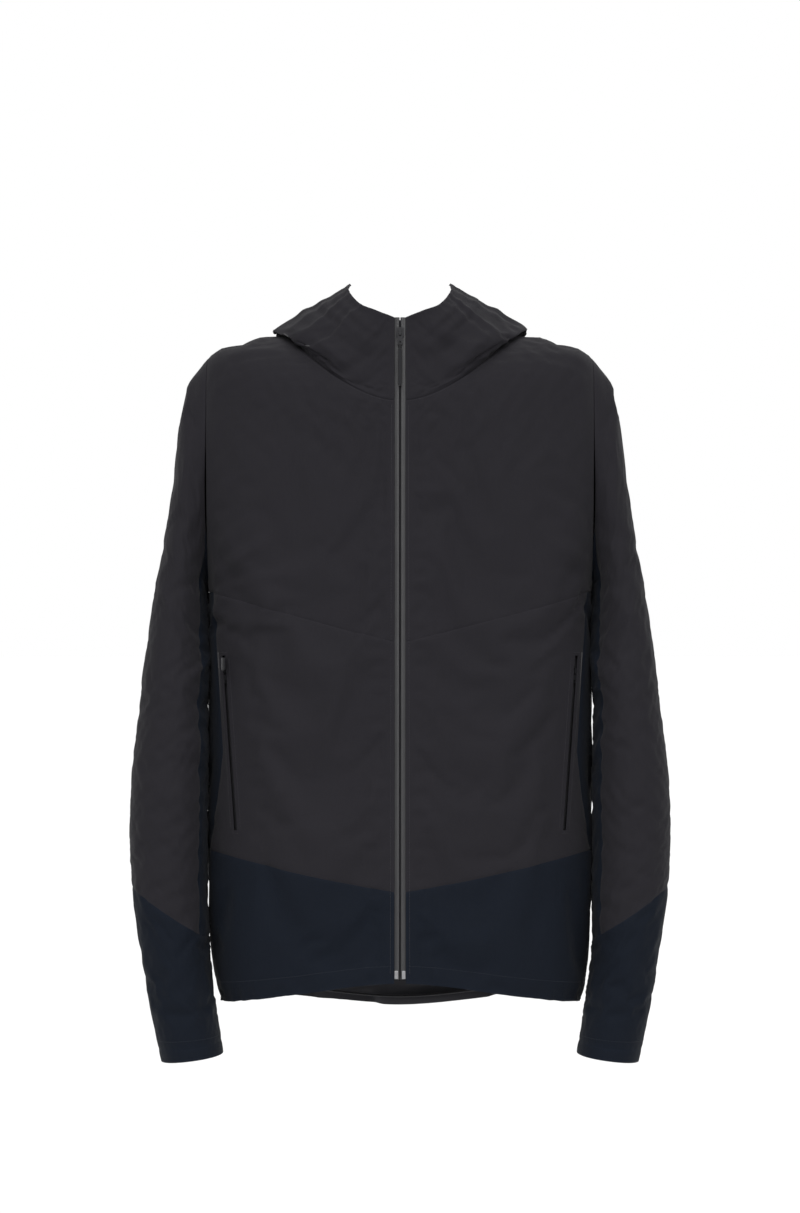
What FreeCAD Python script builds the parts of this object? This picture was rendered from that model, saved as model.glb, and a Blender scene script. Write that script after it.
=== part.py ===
"""Hooded shell jacket with a full-length front zip, built as a FreeCAD document.

Frame: millimetres, +Z up, -Y towards the front of the wearer, +X towards the wearer's left.
The jacket stands as it is worn, arms hanging.  X = 0 is the centre front and centre back, Y = 0
runs through the shoulder seams and Z = 0 is the level of the cuff edges.

Fabric pieces are thin curved sheets.  The torso sheet is lofted through horizontal rings and
divided into panels by seam blocks; the sleeves are lofted through slanted rings; the collar and
the lowered hood are swept round the neckline.  Zips and cord locks are bodies and primitives.
Left pieces are modelled at +X and the right ones are their mirror images.
"""
import FreeCAD
import Part
import math
import os

import Sketcher
from FreeCAD import Placement, Rotation, Vector

OUT_FOLDER = "parts"

# ---------------------------------------------------------------------------------------------
# Driving dimensions: alias, value in millimetres, meaning
# ---------------------------------------------------------------------------------------------
DIMENSIONS = [
    ("fabric", 0.8, "thickness of the laminated fabric sheets"),
    ("seam_half", 0.1, "clearance left on each side of a seam between two panels"),
    ("corner_power", 2.5, "squareness of the torso rings, 2 is an ellipse"),
    ("sleeve_power", 2.2, "squareness of the sleeve rings"),
    ("reach", 320, "half size of the seam blocks, larger than the jacket's half width"),
    ("hood_seam_depth", 24, "distance of the seam between collar and hood behind the shoulder seams"),
    ("hood_seam_gap", 0.8, "clearance in that seam"),
    ("roof", 900, "height of the seam blocks, above the hood"),
    ("zip_low_level", 97, "height of the lower end of the front zip"),
    ("zip_low_depth", 148, "distance of the zip's lower end in front of the shoulder seams"),
    ("zip_top_level", 774, "height of the upper end of the front zip"),
    ("zip_top_depth", 100, "distance of the zip's upper end in front of the shoulder seams"),
    ("zip_slot_half", 6, "half width of the slot between the two front edges"),
    ("armhole_plane", 203, "distance of the armhole seams from the centre"),
    ("armhole_gap", 0.8, "clearance between the armhole edge and the sleeve"),
    ("armhole_floor", 470, "height under which the side panel passes below the armhole"),
    ("chest_seam_mid", 438, "height of the chest seam at the zip"),
    ("chest_seam_side", 491, "height of the chest seam at the side"),
    ("hem_seam_mid", 184, "height of the seam above the hem panel at the zip"),
    ("hem_seam_side", 222, "height of the seam above the hem panel at the side"),
    ("back_yoke_mid", 470, "height of the back yoke seam at the centre"),
    ("back_hem_mid", 168, "height of the seam above the back hem panel at the centre"),
    ("side_seam_top", 196, "distance of the side panel's front edge from the centre, at the top"),
    ("side_seam_bend", 184.5, "the same at the bend beside the pocket"),
    ("side_seam_bend_level", 325, "height of that bend"),
    ("side_seam_low", 197, "the same at the hem panel"),
    ("side_seam_back", 190, "distance of the side panel's rear edge from the centre"),
    ("neck_gap", 0.4, "clearance between the neckline edge and the collar"),
    ("neck_tape_inset", 2.8, "distance of the neck tape inside the neckline"),
    ("neck_tape_width", 0.35, "part of the last torso row interval covered by the neck tape"),
    ("loop_span", 60, "length of the hanger loop between its sewn ends"),
    ("loop_tape", 1.2, "thickness of the hanger loop"),
    ("loop_width", 7, "width of the hanger loop"),
    ("loop_sag", 10, "how far the hanger loop stands off the neck tape"),
    ("loop_depth", 65, "distance of the loop's ends behind the shoulder seams"),
    ("loop_level", 746, "height of the lower edge of the hanger loop"),
    ("tape_gap_half", 0.7, "half of the gap between the two tape edges of a zip"),
    ("tape_overhang", 3, "length of the zip tape below the zip's lower end"),
    ("tape_half", 14, "half width of the whole zip tape of the front"),
    ("tape_depth", 1.6, "distance of the zip tape behind the outer face of the front"),
    ("tape_thick", 0.6, "thickness of a zip tape"),
    ("coil_depth", 2.3, "distance of the coil behind the outer face"),
    ("coil_thick", 1.5, "thickness of the coil"),
    ("coil_width", 2.2, "width of one coil"),
    ("coil_rib", 1.0, "width of the coil's continuous rib"),
    ("coil_pitch", 4, "spacing of the teeth that the coil is drawn with"),
    ("coil_margin", 12, "length at each end of the zip without coil"),
    ("slider_width", 8.6, "width of a slider"),
    ("slider_length", 11, "length of a slider"),
    ("slider_plate", 1.3, "thickness of each plate of a slider"),
    ("slider_front", 0.8, "how far the front plate stands in front of the outer face"),
    ("slider_back", 4.2, "distance of the slider's back plate behind the outer face"),
    ("slider_bridge", 1.1, "width of the slider's bridge between the tape edges"),
    ("slider_rest", 16, "distance of the slider's middle from the upper end of the zip"),
    ("bail_width", 2.0, "width of the bail that holds the pull"),
    ("bail_length", 5.6, "length of the bail"),
    ("bail_height", 2.4, "height of the bail over the slider's front plate"),
    ("bail_window_rise", 0.3, "height of the bail's window over the front plate"),
    ("bail_window_length", 2.6, "length of the window through the bail"),
    ("bail_window_height", 1.5, "height of the window through the bail"),
    ("pull_width", 5.4, "width of a zip pull"),
    ("pull_length", 13, "length of a zip pull"),
    ("pull_thick", 1.0, "thickness of a zip pull"),
    ("pull_window_width", 3.0, "width of the window in the pull that hooks the bail"),
    ("pull_window_length", 3.6, "length of that window"),
    ("pull_eye", 1.3, "radius of the eye for the pull cord"),
    ("cord_eye_drop", 10.4, "distance from the pull's crossbar to the middle of its eye"),
    ("pull_cord_radius", 0.6, "radius of the pull cord"),
    ("pull_cord_spread", 1.4, "distance of each strand of the pull cord from the pull's middle"),
    ("grip_drop", 17, "distance from the crossbar to the top of the moulded cord grip"),
    ("grip_length", 38, "length of the moulded cord grip"),
    ("grip_width", 3.4, "width of the moulded cord grip"),
    ("grip_thick", 3.8, "thickness of the moulded cord grip"),
    ("stop_rise", 2.5, "distance of the top stops above the coils"),
    ("stop_length", 3, "length of a top stop"),
    ("end_width", 3.7, "width of the retainer box and of the insertion pin's plate"),
    ("end_length", 8, "length of the retainer box"),
    ("end_thick", 1.5, "thickness of the retainer box and the pin's plate"),
    ("end_rise", 0.9, "distance of both in front of the outer face and above the zip's end"),
    ("end_inner", 1.9, "distance of both from the middle of the zip"),
    ("flap_half", 15, "half width of the storm flap behind the zip"),
    ("flap_depth", 6.8, "distance of the storm flap behind the outer face"),
    ("pocket_top_level", 425, "height of the upper end of a pocket zip"),
    ("pocket_top_side", 183, "distance of the pocket zip's upper end from the centre"),
    ("pocket_low_level", 245, "height of the lower end of a pocket zip"),
    ("pocket_low_side", 169.5, "distance of the pocket zip's lower end from the centre"),
    ("pocket_slot_half", 4.2, "half width of the pocket slot"),
    ("pocket_zip_depth", 2.2, "how much deeper the pocket zip lies than the front zip"),
    ("slot_reach", 14, "depth of the blocks that cut slots"),
    ("pocket_zip_end", 6, "length at each end of a pocket zip where both tapes are joined"),
    ("pocket_tape_half", 9, "half width of the pocket zip's tape"),
    ("bag_inset", 9, "distance of the pocket bag inside the front"),
    ("bag_depth", 3, "thickness of the pocket bag"),
    ("bag_mouth_reach", 4.5, "depth of the cut that opens the bag behind the zip"),
    ("bag_wall", 0.5, "thickness of the bag's mesh"),
    ("bag_seam", 4, "width of the seam round the bag"),
    ("bag_inner_side", 40, "distance of the bag's inner edge from the centre"),
    ("bag_outer_side", 186, "distance of the bag's outer edge from the centre"),
    ("bag_low_level", 205, "height of the bag's lower edge"),
    ("bag_top_level", 425, "height of the bag's upper edge"),
    ("cord_radius", 1.25, "radius of the drawcords"),
    ("cord_inset", 9, "distance of the hem cord inside the hem"),
    ("cord_rise", 8, "height of the hem cord over the hem edge"),
    ("lock_radius", 6.5, "outer radius of a cord lock"),
    ("lock_height", 11, "height of a cord lock's body"),
    ("lock_cord_level", 2.9, "height of the cord hole over the lock's base"),
    ("lock_cord_hole", 2.1, "radius of the cord hole"),
    ("lock_well_radius", 4.8, "radius of the well that the button slides in"),
    ("lock_well_depth", 5.5, "depth of that well"),
    ("button_radius", 4.5, "radius of a cord lock's button"),
    ("button_height", 8, "height of a cord lock's button"),
    ("button_travel", 3, "distance that the button can be pressed"),
    ("button_floor", 0.2, "clearance under a fully pressed button"),
    ("hood_lock_level", 700, "height of the hood's cord lock"),
    ("hood_lock_depth", 158.5, "distance of the hood's cord lock behind the shoulder seams"),
    ("hood_cord_length", 32, "length of the visible part of the hood's drawcord"),
]

# Torso rings: name, height at the front, side and back, half width, depth of the back
TORSO_FIELDS = ("front_level", "side_level", "back_level", "half_width", "back_depth")
TORSO_RINGS = [
    ("hem", 93, 63, 42, 190, 120),
    ("hip", 184, 172, 165, 201.5, 114),
    ("waist", 300, 300, 300, 202, 103),
    ("rib", 410, 410, 410, 202, 104),
    ("underarm", 490, 490, 490, 202.5, 108),
    ("chest", 590, 600, 600, 216, 110),
    ("shoulder_low", 645, 690, 668, 219, 106),
    ("shoulder_edge", 668, 736, 708, 206, 98),
    ("shoulder_mid", 680, 756, 740, 160, 86),
    ("neckline", 688, 764, 766, 114, 70),
]
TORSO_COLUMNS = 48

# Sleeve rings: name, outer point x, z, inner point x, z, middle y, half depth
SLEEVE_FIELDS = ("outer_x", "outer_z", "inner_x", "inner_z", "middle_y", "half_depth")
SLEEVE_RINGS = [
    ("cap", 226, 704, 205, 506, 1, 59),
    ("head_edge", 241, 602, 207, 498, -1, 62),
    ("upper_arm", 249, 545, 207, 465, -8, 61.5),
    ("biceps", 257, 500, 206, 432, -17, 60),
    ("elbow", 270, 398, 203.5, 385, -33, 58),
    ("forearm", 282, 270, 201, 262, -46, 56),
    ("wrist", 279.5, 186, 200, 133, -52, 52),
    ("cuff", 266, 90, 194, 76, -54, 48.5),
    ("cuff_seam", 252, 16, 186, 24, -55, 45),
    ("cuff_edge", 249, 3, 184.5, 11, -55, 44.5),
]
SLEEVE_ANGLE_STEP = 9.0
UNDER_PANEL_START = 145
UNDER_PANEL_END = 235
SEAM_ANGLE = 0.5
SEAM_SHARE = 0.004

# Hood sections round the neck: angle, fold x, y, z, rim x, y, z, swell of the outer wall,
# rise of the inner wall's middle
HOOD_SECTIONS = [
    (22, 43, -101.5, 712, 25, -98.5, 782, 1, 0),
    (45, 82, -89.5, 739, 41, -84, 790, 3, 0),
    (67, 113, -60, 757, 53, -52, 806, 4, 1),
    (90, 134, 8, 769, 53, 0, 818, 4, 1),
    (120, 122, 82, 752, 62, 46, 812, 8, 5),
    (150, 78, 136, 672, 64, 104, 795, 14, 26),
    (180, 0, 140, 642, 0, 126, 778, 16, 30),
]
HOOD_FRONT_FOLD_LEVEL = 705
HOOD_COLUMNS_PER_SECTION = 4
HOOD_ROWS = 4
HOOD_CENTRE_START = 6.2
COLLAR_SEAM_RANGE, COLLAR_SEAM_STEPS = (3.0, 5.5), 22
HOOD_SEAM_SHARE = 0.012

NECK_TAPE_SKIP = 3
HEM_CORD_SKIP = 4
HEM_LOCK_SHARE = 0.14

ROW_SPACING = 22.0
HOOD_ROW_SPACING = 6.0
HOOD_WALL_LEAN = 0.4

doc = FreeCAD.newDocument("hooded_shell_jacket")


def fill_sheet():
    """Write every driving dimension to the spreadsheet, each in a cell with an alias."""
    table = doc.addObject("Spreadsheet::Sheet", "dimensions")
    rows = list(DIMENSIONS)
    for fields, rings in ((TORSO_FIELDS, TORSO_RINGS), (SLEEVE_FIELDS, SLEEVE_RINGS)):
        for ring in rings:
            for field, value in zip(fields, ring[1:]):
                rows.append((f"{ring[0]}_{field}", value, f"{field} of ring {ring[0]}"))
    for number, (alias, value, meaning) in enumerate(rows, start=1):
        table.set(f"A{number}", alias)
        table.set(f"B{number}", str(value))
        table.set(f"C{number}", meaning)
        table.setAlias(f"B{number}", alias)
    doc.recompute()
    return table


sheet = fill_sheet()


def size(alias):
    """The value in the spreadsheet's cell of that name."""
    return float(sheet.get(alias))


# ---------------------------------------------------------------------------------------------
# Curved sheets
# ---------------------------------------------------------------------------------------------
def hermite(points, index, share):
    """Smooth curve through the points, at a share of the span after points[index]."""
    last = len(points) - 1
    span = max((points[index + 1] - points[index]).Length, 1e-6)
    slopes = []
    for k in (index, index + 1):
        before, after = max(k - 1, 0), min(k + 1, last)
        run = sum((points[j + 1] - points[j]).Length for j in range(before, after))
        slopes.append((points[after] - points[before]) * (span / max(run, 1e-6)))
    square, cube = share * share, share ** 3
    return (points[index] * (2 * cube - 3 * square + 1) + slopes[0] * (cube - 2 * square + share)
            + points[index + 1] * (3 * square - 2 * cube) + slopes[1] * (cube - square))


def row_positions(rows, first, last, spacing):
    """Positions between two row positions that put rows of points about spacing apart."""
    columns = len(rows[0])
    stops = [first] + [k for k in range(len(rows)) if first < k < last] + [last]
    positions = []
    for start, end in zip(stops, stops[1:]):
        index = min(int(start), len(rows) - 2)
        length = sum((rows[index + 1][j] - rows[index][j]).Length for j in range(columns)) / columns
        steps = max(2, round(length * (end - start) / spacing))
        positions += [start + (end - start) * step / steps for step in range(steps)]
    return positions + [last]


def row_at(rows, position):
    """Smooth row of points at a position among the given rows."""
    index = min(int(position), len(rows) - 2)
    return [hermite([row[j] for row in rows], index, position - index) for j in range(len(rows[0]))]


def dense_rows(rows, first, last):
    """Rows of points between two row positions, one row spacing apart."""
    return [row_at(rows, position) for position in row_positions(rows, first, last, ROW_SPACING)]


def framed(positions, limit):
    """The positions with one more beyond each end, kept between zero and the limit."""
    before = max(2 * positions[0] - positions[1], 0)
    after = min(2 * positions[-1] - positions[-2], limit)
    return [before] + positions + [after]


def framed_rows(rows, first, last, spacing):
    """Dense rows with one more row beyond each end, which only steadies the edge's direction."""
    positions = framed(row_positions(rows, first, last, spacing), len(rows) - 1)
    return [row_at(rows, position) for position in positions]


def surface_through(grid):
    """B-spline surface through a grid of points, rows of equal length."""
    surface = Part.BSplineSurface()
    surface.interpolate(grid)
    return surface


def offset_grid(grid, distance, frame=0):
    """The grid moved along its own normals by distance, without its outer frame of that width."""
    rows, columns = len(grid), len(grid[0])
    moved = []
    for i in range(frame, rows - frame):
        row = []
        for j in range(frame, columns - frame):
            along = grid[min(i + 1, rows - 1)][j] - grid[max(i - 1, 0)][j]
            across = grid[i][min(j + 1, columns - 1)] - grid[i][max(j - 1, 0)]
            normal = across.cross(along)
            normal.normalize()
            row.append(grid[i][j] + normal * distance)
        moved.append(row)
    return moved


def side_edges(surface):
    """The four boundary curves of a surface as edges."""
    first_u, last_u, first_v, last_v = surface.bounds()
    curves = (surface.uIso(first_u), surface.uIso(last_u), surface.vIso(first_v), surface.vIso(last_v))
    return [curve.toShape() for curve in curves]


def sheet_solid(grid, thickness, inset=0.0, frame=0):
    """Closed solid whose outer face is the grid moved inwards by inset."""
    top = surface_through(offset_grid(grid, -inset, frame))
    bottom = surface_through(offset_grid(grid, -inset - thickness, frame))
    faces = [top.toShape(), bottom.toShape()]
    for above, below in zip(side_edges(top), side_edges(bottom)):
        faces.append(Part.makeRuledSurface(above, below, 1))
    shell = Part.makeShell(faces)
    shell.sewShape()
    solid = Part.makeSolid(shell)
    if solid.Volume < 0:
        solid.reverse()
    return solid


def add_form(name, shape):
    """A Part::Feature that holds a shape made by Part's own functions."""
    form = doc.addObject("Part::Feature", name)
    form.Shape = shape
    return form


# ---------------------------------------------------------------------------------------------
# Outlines, blocks and booleans
# ---------------------------------------------------------------------------------------------
def fix_value(sketch, constraint, expression):
    """Add a constraint whose value follows an expression of the sheet's cells."""
    index = sketch.addConstraint(constraint)
    sketch.setExpression(f"Constraints[{index}]", expression)


def value_of(expression):
    """Number that an expression of the sheet's cells gives now."""
    return float(sheet.evalExpression(expression))


def draw_outline(sketch, corners):
    """Closed polygon; each corner is a pair of expressions, from the sketch's origin."""
    points = [Vector(value_of(across), value_of(up), 0) for across, up in corners]
    count = len(points)
    lines = []
    for k in range(count):
        lines.append(sketch.addGeometry(Part.LineSegment(points[k], points[(k + 1) % count])))
    for k in range(count):
        joint = Sketcher.Constraint("Coincident", lines[k], 2, lines[(k + 1) % count], 1)
        sketch.addConstraint(joint)
    for k, (across, up) in enumerate(corners):
        for kind, value, expression in (("DistanceX", points[k].x, across), ("DistanceY", points[k].y, up)):
            constraint = Sketcher.Constraint(kind, -1, 1, lines[k], 1, value)
            fix_value(sketch, constraint, expression)


def seam_block(name, corners, front):
    """Block with an outline in the X-Z plane that reaches to the front or to the back."""
    sketch = doc.addObject("Sketcher::SketchObject", f"{name}_outline")
    sketch.Placement = Placement(Vector(0, 0, 0), Rotation(Vector(1, 0, 0), 90))
    draw_outline(sketch, corners)
    block = doc.addObject("Part::Extrusion", f"{name}_block")
    block.Base = sketch
    block.DirMode = "Custom"
    block.Dir = Vector(0, -1, 0) if front else Vector(0, 1, 0)
    block.setExpression("LengthFwd", "dimensions.reach")
    block.Solid = True
    return block


def combine(kind, name, base, tool):
    """Boolean of two objects: Part::Common, Part::Cut or Part::Fuse."""
    result = doc.addObject(kind, name)
    result.Base = base
    result.Tool = tool
    return result


def mirrored(name, source):
    """Mirror image of a left piece, on the right side."""
    image = doc.addObject("Part::Mirroring", name)
    image.Source = source
    image.Normal = Vector(1, 0, 0)
    image.Base = Vector(0, 0, 0)
    return image


pieces = {}


def keep(node, piece):
    """Label a finished sub-part and list it for writing."""
    piece.Label = node
    pieces[node] = piece
    return piece


def keep_pair(node, left_piece):
    """Keep a left piece and its mirror image on the right."""
    keep(f"{node}_left", left_piece)
    keep(f"{node}_right", mirrored(f"{node}_right_image", left_piece))


# ---------------------------------------------------------------------------------------------
# Torso
# ---------------------------------------------------------------------------------------------
def zip_depth(level):
    """Distance of the straight centre-front line in front of the shoulder seams, at a height."""
    low, top = size("zip_low_level"), size("zip_top_level")
    share = (level - low) / (top - low)
    return size("zip_low_depth") + share * (size("zip_top_depth") - size("zip_low_depth"))


def torso_point(ring, angle):
    """Point of a torso ring; angle 0 is the centre front, 90 the wearer's left side."""
    front, side, back, half_width, back_depth = (size(f"{ring}_{field}") for field in TORSO_FIELDS)
    sine, cosine = math.sin(math.radians(angle)), math.cos(math.radians(angle))
    depth, level = (zip_depth(front), front) if cosine > 0 else (back_depth, back)
    power = size("corner_power")
    spread = (abs(sine) / half_width) ** power + (abs(cosine) / depth) ** power
    radius = spread ** (-1.0 / power)
    height = side + (level - side) * cosine * cosine
    return Vector(radius * sine, -radius * cosine, height)


def torso_row(ring):
    """Points of one torso ring, from the left front edge round the back to the right one."""
    depth = zip_depth(size(f"{ring}_front_level"))
    start = math.degrees(math.asin(size("zip_slot_half") / depth))
    step = (360.0 - 2 * start) / TORSO_COLUMNS
    return [torso_point(ring, start + step * k) for k in range(TORSO_COLUMNS + 1)]


torso_rows = [torso_row(ring[0]) for ring in TORSO_RINGS]
torso_grid = dense_rows(torso_rows, 0, len(torso_rows) - 1)
torso_sheet = add_form("torso_sheet", sheet_solid(torso_grid, size("fabric")))


def more(alias):
    """Expression for one seam clearance above or outside a cell's value."""
    return f"dimensions.{alias} + dimensions.seam_half"


def less(alias):
    """Expression for one seam clearance below or inside a cell's value."""
    return f"dimensions.{alias} - dimensions.seam_half"


REACH = "dimensions.reach"
ROOF = "dimensions.roof"
ARMHOLE = "dimensions.armhole_plane"


def panel(name, corners, front):
    """The part of the torso sheet inside one outline, at the front or at the back."""
    return combine("Part::Common", f"{name}_panel", torso_sheet, seam_block(name, corners, front))


def make_front_panels():
    """Yoke, body and hem panels of the front; the left ones and their mirror images."""
    yoke = panel("front_yoke", [
        ("0", more("chest_seam_mid")), (more("side_seam_top"), more("chest_seam_side")),
        (ARMHOLE, more("chest_seam_side")), (ARMHOLE, ROOF), ("0", ROOF)], front=True)
    keep_pair("front_yoke", yoke)
    body = panel("front_body", [
        ("0", more("hem_seam_mid")), (less("side_seam_low"), more("hem_seam_side")),
        (less("side_seam_bend"), "dimensions.side_seam_bend_level"),
        (less("side_seam_top"), less("chest_seam_side")), ("0", less("chest_seam_mid"))], front=True)
    hem = panel("front_hem", [
        ("0", "0"), (REACH, "0"), (REACH, less("hem_seam_side")),
        ("dimensions.side_seam_low", less("hem_seam_side")), ("0", less("hem_seam_mid"))], front=True)
    keep_pair("front_hem", hem)
    return body


def make_side_panels():
    """Side panels, each one piece that wraps from the front body to the back body."""
    front = seam_block("side_front", [
        (more("side_seam_low"), more("hem_seam_side")), (REACH, more("hem_seam_side")),
        (REACH, "dimensions.armhole_floor"), (ARMHOLE, "dimensions.armhole_floor"),
        (ARMHOLE, less("chest_seam_side")), (more("side_seam_top"), less("chest_seam_side")),
        (more("side_seam_bend"), "dimensions.side_seam_bend_level")], front=True)
    back = seam_block("side_back", [
        (more("side_seam_back"), more("hem_seam_side")), (REACH, more("hem_seam_side")),
        (REACH, "dimensions.armhole_floor"), (ARMHOLE, "dimensions.armhole_floor"),
        (ARMHOLE, less("chest_seam_side")), (more("side_seam_back"), less("chest_seam_side"))], front=False)
    block = combine("Part::Fuse", "side_block", front, back)
    keep_pair("side_panel", combine("Part::Common", "side_panel_piece", torso_sheet, block))


def negative(expression):
    """The same distance on the right side."""
    return f"-({expression})"


def make_back_panels():
    """Yoke, body and hem panels of the back, each one piece across the centre."""
    edge = less("side_seam_back")
    keep("back_yoke", panel("back_yoke", [
        (negative(ARMHOLE), more("chest_seam_side")), (negative(edge), more("chest_seam_side")),
        ("0", more("back_yoke_mid")), (edge, more("chest_seam_side")),
        (ARMHOLE, more("chest_seam_side")), (ARMHOLE, ROOF), (negative(ARMHOLE), ROOF)], front=False))
    keep("back_body", panel("back_body", [
        (negative(edge), more("hem_seam_side")), ("0", more("back_hem_mid")),
        (edge, more("hem_seam_side")), (edge, less("chest_seam_side")),
        ("0", less("back_yoke_mid")), (negative(edge), less("chest_seam_side"))], front=False))
    keep("back_hem", panel("back_hem", [
        (negative(REACH), "0"), (REACH, "0"), (REACH, less("hem_seam_side")),
        (edge, less("hem_seam_side")), ("0", less("back_hem_mid")),
        (negative(edge), less("hem_seam_side")), (negative(REACH), less("hem_seam_side"))], front=False))


# ---------------------------------------------------------------------------------------------
# Sleeves
# ---------------------------------------------------------------------------------------------
def sleeve_point(ring, angle):
    """Point of a slanted sleeve ring; angle 0 is the outer side, 90 the front, 180 the body side."""
    outer_x, outer_z, inner_x, inner_z, middle_y, half_depth = (
        size(f"{ring}_{field}") for field in SLEEVE_FIELDS)
    outer, inner = Vector(outer_x, middle_y, outer_z), Vector(inner_x, middle_y, inner_z)
    power = 2.0 / size("sleeve_power")
    cosine, sine = math.cos(math.radians(angle)), math.sin(math.radians(angle))
    across = math.copysign(abs(cosine) ** power, cosine)
    forward = math.copysign(abs(sine) ** power, sine)
    return (outer + inner) * 0.5 + (outer - inner) * (0.5 * across) - Vector(0, half_depth * forward, 0)


def armhole_outline():
    """Middle of the armhole and its outline as pairs of turn and reach, in order of turn."""
    plane = size("armhole_plane")
    crossings = []
    for row in torso_grid:
        for before, after in zip(row, row[1:]):
            if (before.x - plane) * (after.x - plane) < 0:
                crossings.append(before + (after - before) * ((plane - before.x) / (after.x - before.x)))
    crossings = [point for point in crossings if point.z > size("armhole_floor")]
    levels = [point.z for point in crossings]
    middle = Vector(plane, 0, (min(levels) + max(levels)) / 2)
    polar = sorted((math.degrees(math.atan2(middle.y - point.y, point.z - middle.z)) % 360.0,
                    (point - middle).Length) for point in crossings)
    before_first = (polar[-1][0] - 360.0, polar[-1][1])
    after_last = (polar[0][0] + 360.0, polar[0][1])
    return middle, [before_first] + polar + [after_last]


armhole_middle, armhole_polar = armhole_outline()


def armhole_point(angle):
    """Point of the sleeve's upper edge, one clearance outside the armhole plane."""
    turn = angle % 360.0
    k = next(i for i, after in enumerate(armhole_polar[1:]) if turn <= after[0])
    before, after = armhole_polar[k], armhole_polar[k + 1]
    reach = before[1] + (turn - before[0]) / (after[0] - before[0]) * (after[1] - before[1])
    direction = Vector(0, -math.sin(math.radians(turn)), math.cos(math.radians(turn)))
    return armhole_middle + direction * reach + Vector(size("armhole_gap"), 0, 0)


RING_AT = {ring[0]: number for number, ring in enumerate(SLEEVE_RINGS, start=1)}


def sleeve_sheet(first, last, first_angle, last_angle, thickness):
    """Sheet of the left sleeve between two ring positions and between two angles."""
    count = max(6, round((last_angle - first_angle) / SLEEVE_ANGLE_STEP))
    step = (last_angle - first_angle) / count
    angles = [first_angle + step * k for k in range(-1, count + 2)]
    rows = [[armhole_point(angle) for angle in angles]]
    rows += [[sleeve_point(ring[0], angle) for angle in angles] for ring in SLEEVE_RINGS]
    return sheet_solid(framed_rows(rows, first, last, ROW_SPACING), thickness, frame=1)


def make_sleeves():
    """Sleeve head, upper and lower arm with their under panels, forearm panel and cuff binding."""
    fabric = size("fabric")
    head_edge, elbow, wrist = RING_AT["head_edge"], RING_AT["elbow"], RING_AT["wrist"]
    cuff_seam, cuff_edge = RING_AT["cuff_seam"], RING_AT["cuff_edge"]
    round_start, round_end = UNDER_PANEL_END - 360.0 + SEAM_ANGLE, UNDER_PANEL_END - SEAM_ANGLE
    outer_end, under_start = UNDER_PANEL_START - SEAM_ANGLE, UNDER_PANEL_START + SEAM_ANGLE
    head = sleeve_sheet(0, head_edge - SEAM_SHARE, round_start, round_end, fabric)
    keep_pair("sleeve_head", add_form("sleeve_head_sheet", head))
    spans = (("upper_sleeve", head_edge + SEAM_SHARE, elbow - SEAM_SHARE),
             ("lower_sleeve", elbow + SEAM_SHARE, wrist - SEAM_SHARE))
    for name, first, last in spans:
        outer = sleeve_sheet(first, last, round_start, outer_end, fabric)
        keep_pair(name, add_form(f"{name}_outer_sheet", outer))
        under = sleeve_sheet(first, last, under_start, round_end, fabric)
        keep_pair(f"{name}_under", add_form(f"{name}_under_sheet", under))
    forearm = sleeve_sheet(wrist + SEAM_SHARE, cuff_seam - SEAM_SHARE, round_start, round_end, fabric)
    keep_pair("forearm", add_form("forearm_sheet", forearm))
    binding = sleeve_sheet(cuff_seam + SEAM_SHARE, cuff_edge, round_start, round_end, 2 * fabric)
    keep_pair("cuff_binding", add_form("cuff_binding_sheet", binding))


# ---------------------------------------------------------------------------------------------
# Collar, lowered hood, neck tape and hanger loop
# ---------------------------------------------------------------------------------------------
def zip_line_point(level):
    """Point of the left front edge at a height."""
    return Vector(size("zip_slot_half"), -zip_depth(level), level)


def hood_keys():
    """Angles, fold points, rim points and bulges of the hood's sections, once round the neck."""
    start = math.degrees(math.asin(size("zip_slot_half") / zip_depth(size("neckline_front_level"))))
    rim_front = zip_line_point(size("zip_top_level"))
    keys = [(start, zip_line_point(HOOD_FRONT_FOLD_LEVEL), rim_front, Vector(0, 0, 0))]
    for angle, fold_x, fold_y, fold_z, rim_x, rim_y, rim_z, swell, rise in HOOD_SECTIONS:
        fold, rim = Vector(fold_x, fold_y, fold_z), Vector(rim_x, rim_y, rim_z)
        keys.append((angle, fold, rim, Vector(swell, 0, rise)))
    flip = [(360.0 - angle, Vector(-fold.x, fold.y, fold.z), Vector(-rim.x, rim.y, rim.z), bulge)
            for angle, fold, rim, bulge in reversed(keys[:-1])]
    return [list(column) for column in zip(*(keys + flip))]


def hood_section(position):
    """Points of the hood's section at a position among the keys: neck, wall, fold, wall, rim."""
    angles, folds, rims, bulges = hood_keys()
    index = min(int(position), len(angles) - 2)
    share = position - index
    angle = angles[index] + share * (angles[index + 1] - angles[index])
    neck = torso_point("neckline", angle) + Vector(0, 0, size("neck_gap"))
    fold, rim = hermite(folds, index, share), hermite(rims, index, share)
    bulge = hermite(bulges, index, share)
    outwards = Vector(math.sin(math.radians(angle)), -math.cos(math.radians(angle)), 0)
    inner = (neck + fold) * 0.5 + (outwards * HOOD_WALL_LEAN + Vector(0, 0, 1)) * bulge.z
    outer = (fold + rim) * 0.5 + outwards * bulge.x
    return [neck, inner, fold, outer, rim]


def hood_point(row, position):
    """Point of the hood at a row position, from neck to rim, and a position round the neck."""
    section = hood_section(position)
    index = min(int(row), len(section) - 2)
    return hermite(section, index, row - index)


def collar_seam(row, depth):
    """Position round the neck where a row of the hood passes a depth behind the shoulder seams."""
    low, high = COLLAR_SEAM_RANGE
    for _ in range(COLLAR_SEAM_STEPS):
        middle = (low + high) / 2
        if hood_point(row, middle).y < depth:
            low = middle
        else:
            high = middle
    return low


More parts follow.
